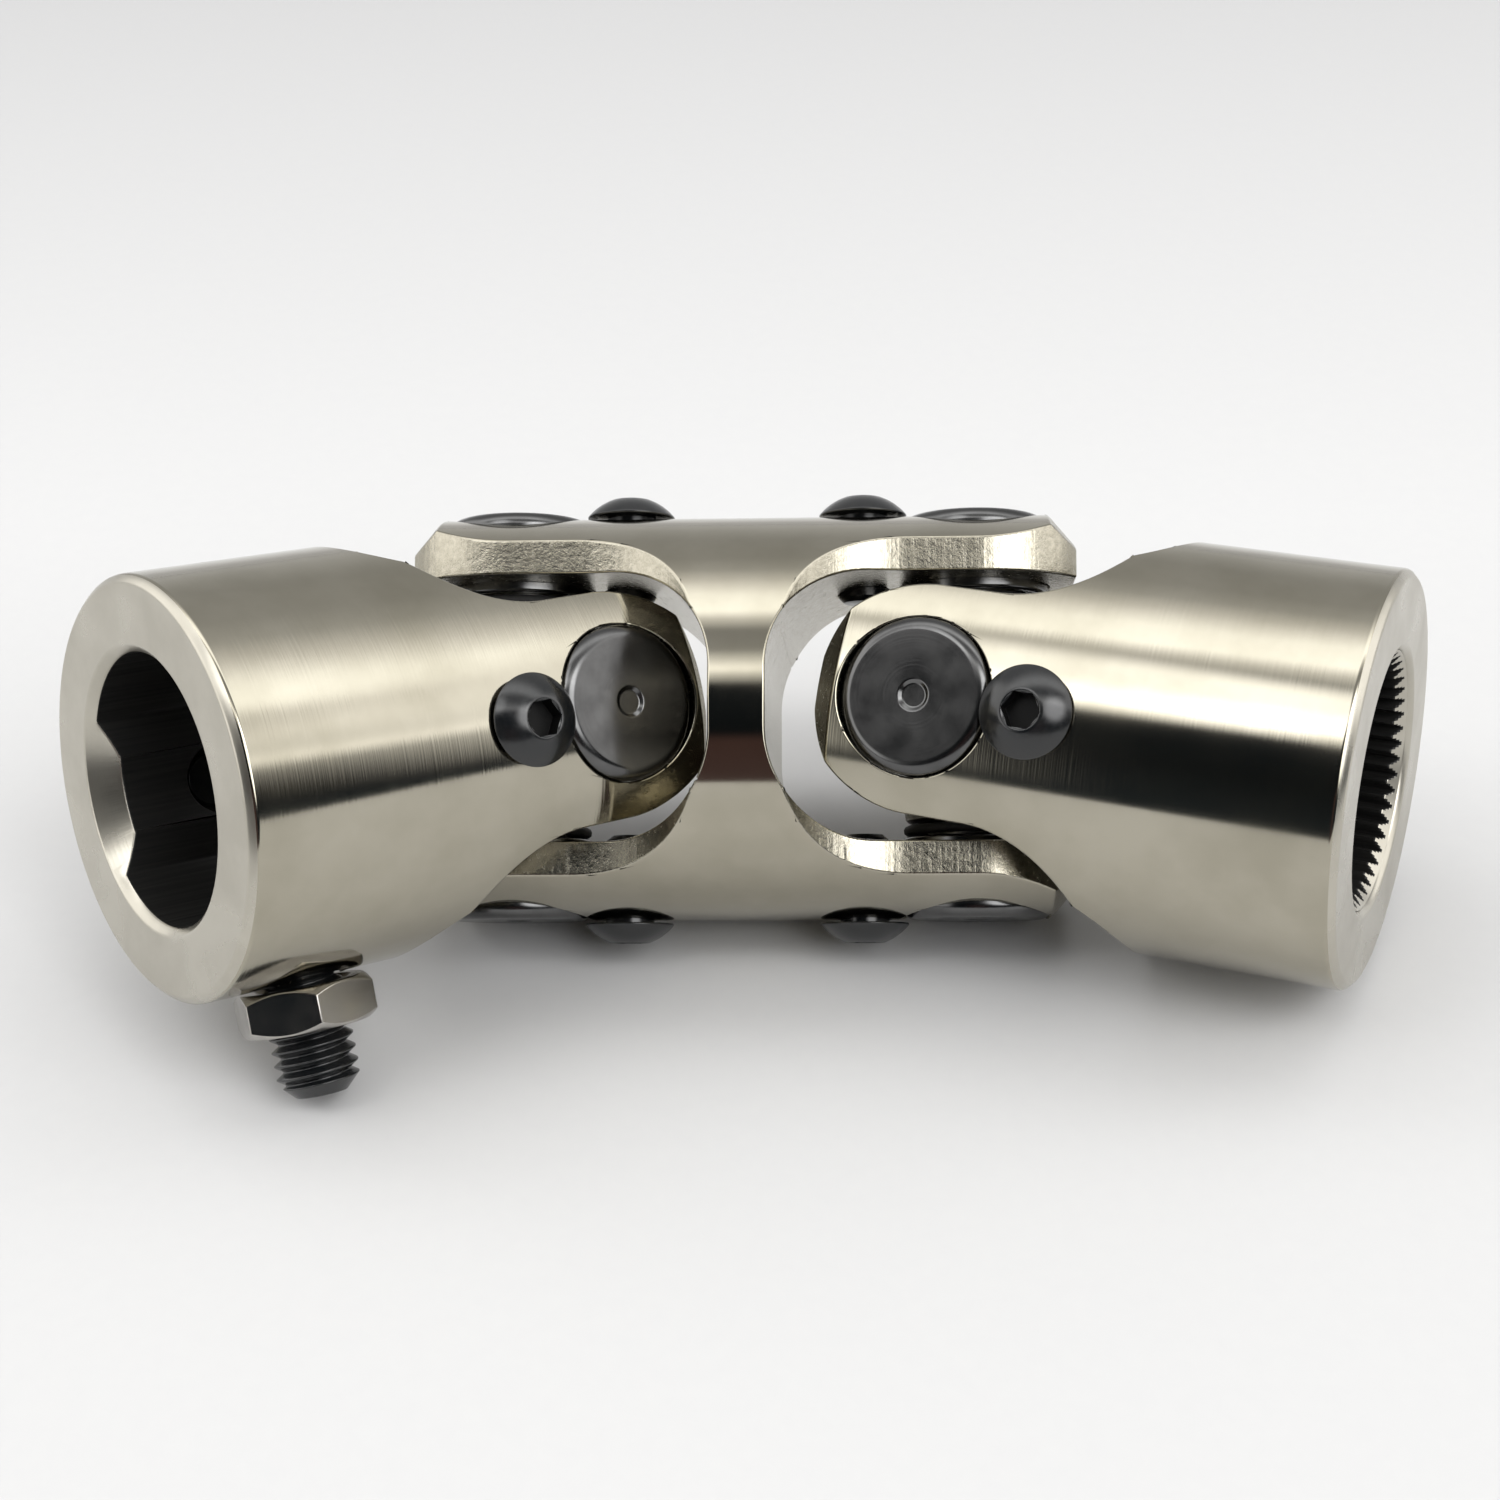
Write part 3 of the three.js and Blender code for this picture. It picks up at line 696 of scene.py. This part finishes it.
def fork_rounds(ear, matrix):
    """The cylinders that bound one fork: ear ends, flanks, slot corners and cap holes."""
    half_width, flank_start, flank_radius = ear
    corner = Vector((SLOT_DEPTH - SLOT_CORNER, 0, SLOT_HALF_WIDTH - SLOT_CORNER))
    flank = Vector((flank_start, half_width + flank_radius, 0))
    centre, upright, level = Vector((0, 0, 0)), Vector((0, 0, 1)), Vector((0, 1, 0))
    rounds = [
        (centre, upright, half_width), (centre, upright, CAP_HOLE_RADIUS),
        (flank, upright, flank_radius), (flank * Vector((1, -1, 1)), upright, flank_radius),
        (corner, level, SLOT_CORNER), (corner * Vector((1, 1, -1)), level, SLOT_CORNER)]
    turn, move = matrix.to_3x3(), matrix.translation / MM
    return [(turn @ point + move, turn @ axis, radius) for point, axis, radius in rounds]


def body_rings(start, end):
    """Profile points along the turned outside, close enough to keep its shading even."""
    steps = round((end - start) / RING_SPACING)
    return [(BODY_RADIUS, start + (end - start) * step / steps) for step in range(steps + 1)]


def coupler_shape():
    """Turned bar with a fork at each end."""
    tip = JOINT_SPACING / 2 + COUPLER_EAR_TIP
    blank = lathe([
        (0, -tip), (BODY_RADIUS - NOSE_RADIAL, -tip),
        *body_rings(-tip + NOSE_ALONG, tip - NOSE_ALONG),
        (BODY_RADIUS - NOSE_RADIAL, tip), (0, tip),
    ], BODY_SIDES, "X")
    ends = (shift(-JOINT_SPACING / 2),
            shift(JOINT_SPACING / 2) @ Matrix.Rotation(math.pi, 4, "Z"))
    cutters, rounds = [], [TURNED_ROUND]
    for matrix in ends:
        cutters += fork_cutters(COUPLER_EAR, matrix)
        rounds += fork_rounds(COUPLER_EAR, matrix)
    shape = soften(boolean(blank, cutters), EDGE_BREAK)
    true_rounds(shape, rounds)
    mark_regions(shape, has_bore=False)
    return shape


def yoke_blank():
    """Turned blank of an end yoke, before any cut."""
    return lathe([
        (0, -YOKE_EAR_TIP), (BODY_RADIUS - NOSE_RADIAL, -YOKE_EAR_TIP),
        *body_rings(-YOKE_EAR_TIP + NOSE_ALONG, YOKE_LENGTH - HUB_CHAMFER),
        (BODY_RADIUS - HUB_CHAMFER, YOKE_LENGTH), (0, YOKE_LENGTH),
    ], BODY_SIDES, "X")


def mouth_cutter(radius):
    """The 45 degree countersink of a bore, with that radius at the end face."""
    return lathe([
        (0, YOKE_LENGTH - radius), (radius + OVERRUN, YOKE_LENGTH + OVERRUN),
        (0, YOKE_LENGTH + OVERRUN),
    ], BODY_SIDES, "X")


def double_flat_outline():
    """Round bore with two flats, each hollowed along its middle by the pilot bore."""
    corner = math.degrees(math.acos(DD_FLAT / DD_RADIUS))
    pilot = math.degrees(math.acos(DD_FLAT / DD_PILOT))
    return [
        *arc(0, 0, DD_RADIUS, corner, 180 - corner),
        *arc(0, 0, DD_PILOT, 180 - pilot, 180 + pilot),
        *arc(0, 0, DD_RADIUS, 180 + corner, 360 - corner),
        *arc(0, 0, DD_PILOT, 360 - pilot, 360 + pilot),
    ]


def chamfered_hole(radius, chamfer, surface, bottom=0):
    """A hole along Z whose rim is broken where it meets a surface at that height."""
    return lathe([
        (0, bottom), (radius, bottom), (radius, surface - chamfer),
        (radius + chamfer + OVERRUN, surface + OVERRUN), (0, surface + OVERRUN),
    ], HOLE_SIDES)


def dd_yoke_shape():
    """Yoke with the double-flat bore and the holes of its two set screws."""
    start = SLOT_DEPTH - SLOT_CORNER
    sideways = Matrix.Rotation(-math.pi / 2, 4, "X")
    bore = moved(extrude(double_flat_outline(), start, YOKE_LENGTH + OVERRUN, "X"), sideways)
    screw_hole = moved(
        chamfered_hole(TAPPED_RADIUS, TAPPED_CHAMFER, BODY_RADIUS),
        shift(YOKE_LENGTH - END_TO_SET_SCREW) @ sideways)
    opposite = shift(YOKE_LENGTH - END_TO_FLAT_SCREW) @ FLIP
    flat_screw_holes = [
        moved(rod(LEAD_RADIUS, 0, LEAD_DEPTH + LEAD_OVERLAP), opposite),
        moved(chamfered_hole(TAPPED_RADIUS, TAPPED_CHAMFER, BODY_RADIUS, LEAD_DEPTH), opposite)]
    cutters = fork_cutters(YOKE_EAR, Matrix.Identity(4))
    cutters += [bore, mouth_cutter(DD_MOUTH), screw_hole, *flat_screw_holes]
    shape = soften(boolean(yoke_blank(), cutters), EDGE_BREAK)
    true_rounds(shape, [TURNED_ROUND] + fork_rounds(YOKE_EAR, Matrix.Identity(4)))
    mark_regions(shape, has_bore=True)
    return shape


def toothed_liner(outer):
    """The toothed wall of the bore, from the slot to the countersunk mouth."""
    sides = TEETH * TOOTH_SIDES
    start = SLOT_DEPTH - LINER_OVERLAP
    mouth_end = YOKE_LENGTH - (SPLINE_MOUTH - outer)
    cone_start = YOKE_LENGTH - (SPLINE_MOUTH - TOOTH_CREST) - LINER_MARGIN
    stations = [start + (cone_start - start) * step / 2 for step in range(3)]
    stations += [cone_start + (mouth_end - cone_start) * step / MOUTH_STEPS
                 for step in range(1, MOUTH_STEPS + 1)]
    vertices, rows = [], []
    for station in stations:
        cone = SPLINE_MOUTH - (YOKE_LENGTH - station)
        row = []
        for side in range(sides):
            turn = 2 * math.pi * side / sides
            phase = abs((side % TOOTH_SIDES) / TOOTH_SIDES * 2 - 1)
            ramp = min(max((phase - TOOTH_LAND) / (1 - 2 * TOOTH_LAND), 0), 1)
            radius = max(TOOTH_CREST + (TOOTH_ROOT - TOOTH_CREST) * ramp, cone)
            row.append(len(vertices))
            vertices.append((station, radius * math.cos(turn), radius * math.sin(turn)))
        rows.append(row)
    back = []
    for side in range(sides):
        turn = 2 * math.pi * side / sides
        back.append(len(vertices))
        vertices.append((start, outer * math.cos(turn), outer * math.sin(turn)))
    faces = []
    for low, high in zip([back] + rows, rows + [back]):
        for side in range(sides):
            after = (side + 1) % sides
            faces.append([low[side], low[after], high[after], high[side]])
    return new_object(vertices, faces)


def spline_yoke_shape():
    """Yoke with the toothed bore, whose teeth are a liner behind a countersunk mouth."""
    liner_outer = TOOTH_ROOT + LINER_WALL
    cutters = fork_cutters(YOKE_EAR, Matrix.Identity(4))
    cutters += [
        rod(liner_outer, SLOT_DEPTH - SLOT_CORNER, YOKE_LENGTH + OVERRUN, BODY_SIDES, "X"),
        mouth_cutter(SPLINE_MOUTH),
    ]
    shell = soften(boolean(yoke_blank(), cutters), EDGE_BREAK)
    true_rounds(shell, [TURNED_ROUND] + fork_rounds(YOKE_EAR, Matrix.Identity(4)))
    shape = join([shell, toothed_liner(liner_outer)])
    mark_regions(shape, has_bore=True)
    return shape


def make_bodies():
    place(coupler_shape(), "coupler", COUPLER_FRAME, "coupler", NICKEL)
    place(dd_yoke_shape(), "yoke_dd", FORKS["dd_yoke"], "yoke_dd", NICKEL)
    place(spline_yoke_shape(), "yoke_spline", FORKS["spline_yoke"], "yoke_spline",
          NICKEL)


# ---------------------------------------------------------------- parts of each ear


def cap_shape():
    """Needle cup with a rounded edge and a flat-bottomed pit at its centre."""
    top = BODY_RADIUS
    inner = CAP_RADIUS - CAP_WALL
    profile = [
        (0, top - CAP_FLOOR), (inner, top - CAP_FLOOR), (inner, CAP_MOUTH),
        (CAP_RADIUS - CAP_LIP, CAP_MOUTH), (CAP_RADIUS, CAP_MOUTH + CAP_LIP),
        *arc(CAP_RADIUS - CAP_EDGE, top - CAP_EDGE, CAP_EDGE, 0, 90, CAP_EDGE_STEPS),
        (CAP_FLAT, top), *[(radius, top - depth) for radius, depth in CAP_PIT],
    ]
    return smooth(lathe(profile, HOLE_SIDES))


def screw_shape():
    """Button-head screw, whose dome is part of a sphere, with a hexagon socket."""
    top = HEAD_SEAT + HEAD_HEIGHT
    fall = HEAD_RIM - HEAD_HEIGHT
    centre = (HEAD_RADIUS ** 2 + HEAD_RIM ** 2 - HEAD_CROWN ** 2 - HEAD_HEIGHT ** 2) / (2 * fall)
    dome = arc(
        0, HEAD_SEAT + centre, math.hypot(HEAD_RADIUS, HEAD_RIM - centre),
        math.degrees(math.atan2(HEAD_RIM - centre, HEAD_RADIUS)),
        math.degrees(math.atan2(HEAD_HEIGHT - centre, HEAD_CROWN)), HEAD_STEPS)
    body = lathe([
        (0, SCREW_TIP), (SCREW_RADIUS - SCREW_CHAMFER, SCREW_TIP),
        (SCREW_RADIUS, SCREW_TIP + SCREW_CHAMFER), (SCREW_RADIUS, HEAD_SEAT),
        (HEAD_RADIUS - HEAD_UNDERCUT, HEAD_SEAT), *dome, (0, top),
    ], ROUND_SIDES)
    socket = hex_prism(HEAD_SOCKET, top - HEAD_SOCKET_DEPTH, top + SHORT_OVERRUN)
    lead = lathe([
        (0, top - SOCKET_LEAD), (HEAD_SOCKET / 2 + SOCKET_LEAD_NARROW, top - SOCKET_LEAD),
        (HEAD_SOCKET / 2 + SOCKET_LEAD_WIDE, top + SOCKET_LEAD), (0, top + SOCKET_LEAD),
    ], SCREW_SIDES)
    shape = soften(boolean(body, [socket, lead]), SCREW_EDGE_BREAK)
    for polygon in shape.data.polygons:
        centre = polygon.center / MM
        inside = math.hypot(centre.x, centre.y) < SOCKET_REACH
        low = top - HEAD_SOCKET_DEPTH - SOCKET_MARGIN
        deep = low < centre.z < top - SOCKET_LEAD - SCREW_EDGE_BREAK
        # Faces deep in the socket take the material painted with its shade.
        polygon.material_index = int(inside and deep)
    return shape


def needle_shape():
    """A full row of loose needles with rounded ends."""
    tip = NEEDLE_RADIUS - NEEDLE_ROUNDING
    low, high = NEEDLE_START, TRUNNION_END
    needles = []
    for index in range(NEEDLES):
        needle = lathe([
            (0, low), (tip, low), (NEEDLE_RADIUS, low + NEEDLE_ROUNDING),
            (NEEDLE_RADIUS, high - NEEDLE_ROUNDING), (tip, high), (0, high)], NEEDLE_SIDES)
        turn = Matrix.Rotation(2 * math.pi * index / NEEDLES, 4, "Z")
        needles.append(moved(needle, turn @ shift(sum(NEEDLE_TRACK) / 2)))
    return smooth(join(needles))


def seal_shape():
    """Lip seal that closes a cup's mouth."""
    return smooth(lathe(SEAL_SECTION, SCREW_SIDES, closed=True))


def mirrored(profile):
    """A profile's upper half with its lower half put before it."""
    return [(radius, -height) for radius, height in reversed(profile)] + profile


def cross_shape():
    """Cross with ground trunnions, and a boss where they meet."""
    half_bar = [
        (ARM_RADIUS, ARM_SHOULDER - ARM_CHAMFER), (ARM_RADIUS - ARM_CHAMFER, ARM_SHOULDER),
        (TRUNNION_RADIUS, ARM_SHOULDER), (TRUNNION_RADIUS, TRUNNION_END - TRUNNION_CHAMFER),
        (TRUNNION_RADIUS - TRUNNION_CHAMFER, TRUNNION_END), (0, TRUNNION_END)]
    half_boss = [
        (BOSS_RADIUS, BOSS_REACH - BOSS_CHAMFER), (BOSS_RADIUS - BOSS_CHAMFER, BOSS_REACH),
        (0, BOSS_REACH)]
    upright = lathe(mirrored(half_bar), ROUND_SIDES)
    level = moved(lathe(mirrored(half_bar), ROUND_SIDES), Matrix.Rotation(math.pi / 2, 4, "X"))
    boss = lathe(mirrored(half_boss), ROUND_SIDES, "X")
    return soften(boolean(upright, [level, boss], "UNION"), CROSS_EDGE_BREAK, 3)


def copy_of(shape):
    twin = shape.copy()
    twin.data = shape.data.copy()
    bpy.context.collection.objects.link(twin)
    return twin


def make_ear_parts():
    kinds = [
        ("bearing_cap", cap_shape(), Matrix.Identity(4), "cap_steel", [CUP]),
        ("needle_ring", needle_shape(), Matrix.Identity(4), "needle_steel", [NEEDLE]),
        ("retaining_screw", screw_shape(), shift(SCREW_OFFSET), "black_oxide", [BLACK, SOCKET]),
    ]
    for fork, places in EARS.items():
        for place_name, side in zip(places, (Matrix.Identity(4), FLIP)):
            for kind, master, offset, slot, materials in kinds:
                place(copy_of(master), f"{kind}_{place_name}", FORKS[fork] @ side @ offset,
                      FORK_BODY[fork], materials)
    for kind in kinds:
        bpy.data.objects.remove(kind[1])


def make_crosses():
    """Each cross with its seals; its Y axis lies along its yoke's trunnions."""
    cross, seal = cross_shape(), seal_shape()
    for end, centre in (("dd", DD_CENTRE), ("spline", SPLINE_CENTRE)):
        forward = Vector(JOINTS[f"{end}_dip"]["axis"]).cross(TRUNNIONS)
        matrix = frame_matrix(centre, forward, TRUNNIONS)
        place(copy_of(cross), f"cross_{end}", matrix, f"cross_{end}", [FORGED])
        top, bottom = EARS[f"{end}_coupler"]
        plus, minus = EARS[f"{end}_yoke"]
        for place_name, turn in ((top, 0), (bottom, 180), (plus, -90), (minus, 90)):
            place(copy_of(seal), f"seal_{place_name}",
                  matrix @ Matrix.Rotation(math.radians(turn), 4, "X"), f"cross_{end}",
                  [RUBBER])
    bpy.data.objects.remove(cross)
    bpy.data.objects.remove(seal)


# ---------------------------------------------------------------- clamp screw and nut


def thread_shape(point, head):
    """Set screw with a true helical thread, a cone point and a chamfered, socketed end."""
    sides = THREAD_SIDES
    length = head - point
    rows = int(length / SET_PITCH * THREAD_STEPS)
    vertices, rings = [], []
    for row in range(rows + 1):
        height = point + length * row / rows
        limit_low = SET_RADIUS - POINT_DROP + (height - point) * POINT_SLOPE
        limit_high = SET_RADIUS - HEAD_DROP + (head - height)
        ring = []
        for side in range(sides):
            phase = (height / SET_PITCH - side / sides) % 1
            tooth = min(max(abs(phase * 2 - 1) * THREAD_SLOPE - THREAD_CREST, 0), 1)
            radius = min(SET_RADIUS - SET_THREAD * tooth, limit_low, limit_high)
            turn = 2 * math.pi * side / sides
            ring.append(len(vertices))
            vertices.append((radius * math.cos(turn), radius * math.sin(turn), height))
        rings.append(ring)
    faces = [list(reversed(rings[0])), rings[-1]]
    for low, high in zip(rings, rings[1:]):
        for side in range(sides):
            after = (side + 1) % sides
            faces.append([low[side], low[after], high[after], high[side]])
    body = new_object(vertices, faces)
    socket = hex_prism(SET_SOCKET, head - SET_SOCKET_DEPTH, head + SHORT_OVERRUN)
    return smooth(boolean(body, [socket]))


def nut_shape():
    """Hexagon jam nut, both faces bevelled to a circle."""
    face = NUT_ACROSS / 2 - NUT_FACE_STEP
    corner = NUT_ACROSS / math.sqrt(3) + NUT_CORNER_CLEARANCE
    top = NUT_SEAT + NUT_HEIGHT
    barrel = lathe([
        (0, NUT_SEAT), (face, NUT_SEAT), (corner, NUT_SEAT + NUT_BEVEL),
        (corner, top - NUT_BEVEL), (face, top), (0, top)], HOLE_SIDES)
    blank = boolean(hex_prism(NUT_ACROSS, NUT_SEAT, top), [barrel], "INTERSECT")
    cutters = [rod(NUT_HOLE_RADIUS, NUT_SEAT - SHORT_OVERRUN, top + SHORT_OVERRUN, SCREW_SIDES)]
    for level, way in ((NUT_SEAT, 1), (top, -1)):
        cutters.append(lathe([
            (0, level), (NUT_HOLE_RADIUS + NUT_LEAD, level),
            (0, level + way * (SET_RADIUS + NUT_LEAD))], SCREW_SIDES))
    turn = Matrix.Rotation(math.radians(NUT_TURN), 4, "Z")
    return moved(soften(boolean(blank, cutters), NUT_EDGE_BREAK), turn)


def make_clamp():
    """The standing set screw with its nut, and the one below the surface opposite it."""
    matrix = (FORKS["dd_yoke"] @ shift(YOKE_LENGTH - END_TO_SET_SCREW)
              @ Matrix.Rotation(-math.pi / 2, 4, "X"))
    place(thread_shape(SET_POINT, SET_HEAD), "set_screw", matrix, "set_screw",
          [BLACK])
    place(nut_shape(), "jam_nut", matrix, "jam_nut", [ZINC])
    place(thread_shape(FLAT_SCREW_POINT, FLAT_SCREW_HEAD), "set_screw_flat",
          FORKS["dd_yoke"] @ shift(YOKE_LENGTH - END_TO_FLAT_SCREW) @ FLIP,
          "set_screw_flat", [BLACK])


# ---------------------------------------------------------------- camera, floor and light

CAMERA_PLACE = (13.91, -262.7, -30.2)   # in the coupler frame
CAMERA_YAW, CAMERA_PITCH, CAMERA_ROLL = 2.97, -5.895, -0.068
LENS, SENSOR = 64.2, 36
CLIP_START = 0.01                       # metres
FLOOR_REACH = 8                         # metres each way


def make_camera():
    data = bpy.data.cameras.new("camera")
    data.lens = LENS
    data.sensor_width = SENSOR
    data.clip_start = CLIP_START
    camera = bpy.data.objects.new("camera", data)
    bpy.context.collection.objects.link(camera)
    yaw, pitch = math.radians(CAMERA_YAW), math.radians(CAMERA_PITCH)
    right = Vector((math.cos(yaw), math.sin(yaw), 0))
    ahead = Vector((-math.sin(yaw) * math.cos(pitch), math.cos(yaw) * math.cos(pitch),
                    -math.sin(pitch)))
    up = right.cross(ahead)
    look = Matrix((right, up, -ahead)).transposed().to_4x4()
    roll = Matrix.Rotation(math.radians(CAMERA_ROLL), 4, "Z")
    camera.matrix_world = COUPLER_FRAME @ shift(*CAMERA_PLACE) @ look @ roll
    bpy.context.scene.camera = camera


def make_floor():
    mesh = bpy.data.meshes.new("floor")
    far = FLOOR_REACH
    corners = [(-far, -far, 0), (far, -far, 0), (far, far, 0), (-far, far, 0)]
    mesh.from_pydata(corners, [], [(0, 1, 2, 3)])
    floor = bpy.data.objects.new("floor", mesh)
    bpy.context.collection.objects.link(floor)
    mesh.materials.append(white_paper())


# The studio from the front horizon, over the top, to the back one: angle, brightness and colour.
STUDIO = [
    (0, 0.03, (0.6, 0.8, 1.0)), (29, 0.012, (0.6, 0.8, 1.0)), (54, 0.018, (0.6, 0.8, 1.0)),
    (60, 1.4, (1, 0.99, 0.97)), (63, 2.7, (1, 0.99, 0.97)), (68, 1.5, (1, 1, 0.98)),
    (74, 0.50, (1, 1, 1)), (86, 0.42, (1, 1, 1)), (93, 1.3, (1, 0.99, 0.97)),
    (98, 2.6, (1, 1, 0.99)), (109, 2.3, (1, 1, 0.99)), (120, 1.2, (1, 0.99, 0.98)),
    (128, 0.70, (1, 1, 1)), (138, 0.53, (1, 1, 1)), (158, 0.50, (1, 1, 1)),
    (180, 0.66, (1, 1, 1))]
STUDIO_PEAK = 3.0                       # a colour ramp holds 1 at most, so it is divided by this
BELOW_HORIZON = 0.8
# In the ranges below, a light is nothing at the first value and full at the second. X, Y and Z are
# parts of the unit vector that points the way one looks.
FRONT_GLOW = (0.08, 0.038, 0.030)       # warm light low in front, between the dark sides
GLOW_HEIGHT, GLOW_X = (29, 22), (0.3, 0.15)
WALLS = (1.85, 1.83, 1.80)              # pale: the whole left side, and the rear of the right one
LEFT_WALL_X, RIGHT_WALL_X, RIGHT_WALL_Y = (-0.6, -0.8), (0.68, 0.84), (-0.37, -0.05)
WALL_Z, HORIZON_Z = (0.0, 0.16), (0, -0.01)
# Round lamps: direction, brightness, and the angles from it where each begins to fade and is gone.
LAMPS = [((-0.42, -0.27, 0.87), 2.2, 8, 18), ((0.55, -0.55, 0.63), 4.2, 14, 26)]


def of_peak(colour):
    return [part / STUDIO_PEAK for part in colour]


def make_light():
    """A wide studio: lamps overhead, a dark room in front, pale walls behind and beside."""
    world = bpy.data.worlds.new("studio")
    bpy.context.scene.world = world
    nodes = Nodes(world)
    toward = nodes.add("ShaderNodeTexCoord").outputs["Generated"]
    x, y, z = nodes.add("ShaderNodeSeparateXYZ", {0: toward}).outputs
    front = nodes.math("MULTIPLY", y, -1)
    height = nodes.math("DIVIDE", nodes.math("ARCTAN2", z, front), math.pi)
    ramp = nodes.add("ShaderNodeValToRGB", {0: height})
    while len(ramp.color_ramp.elements) < len(STUDIO):
        ramp.color_ramp.elements.new(1)
    for element, (degrees, level, tint) in zip(ramp.color_ramp.elements, STUDIO):
        element.position = degrees / 180
        element.color = (*[level / STUDIO_PEAK * part for part in tint], 1)
    glow = nodes.math(
        "MULTIPLY", nodes.fade(height, *[degrees / 180 for degrees in GLOW_HEIGHT]),
        nodes.fade(nodes.math("ABSOLUTE", x), *GLOW_X))
    colour = nodes.blend(glow, ramp.outputs[0], of_peak(FRONT_GLOW), "ADD")
    for direction, level, full, gone in LAMPS:
        facing = nodes.add("ShaderNodeVectorMath", {
            0: toward, 1: Vector(direction).normalized()}, operation="DOT_PRODUCT")
        spot = nodes.fade(facing.outputs["Value"], math.cos(math.radians(gone)),
                          math.cos(math.radians(full)))
        colour = nodes.blend(spot, colour, of_peak([level] * 3), "ADD")
    right_wall = nodes.math(
        "MULTIPLY", nodes.fade(x, *RIGHT_WALL_X), nodes.fade(y, *RIGHT_WALL_Y))
    walls = nodes.math("MAXIMUM", nodes.fade(x, *LEFT_WALL_X), right_wall)
    walls = nodes.math("MULTIPLY", walls, nodes.fade(z, *WALL_Z))
    colour = nodes.blend(walls, colour, of_peak(WALLS))
    colour = nodes.blend(nodes.fade(z, *HORIZON_Z), colour, of_peak([BELOW_HORIZON] * 3))
    background = nodes.tree.nodes["Background"]
    nodes.tree.links.new(colour, background.inputs["Color"])
    background.inputs["Strength"].default_value = STUDIO_PEAK


make_camera()
make_bodies()
make_ear_parts()
make_crosses()
make_clamp()
make_floor()
make_light()
bpy.context.scene.view_settings.view_transform = "Standard"
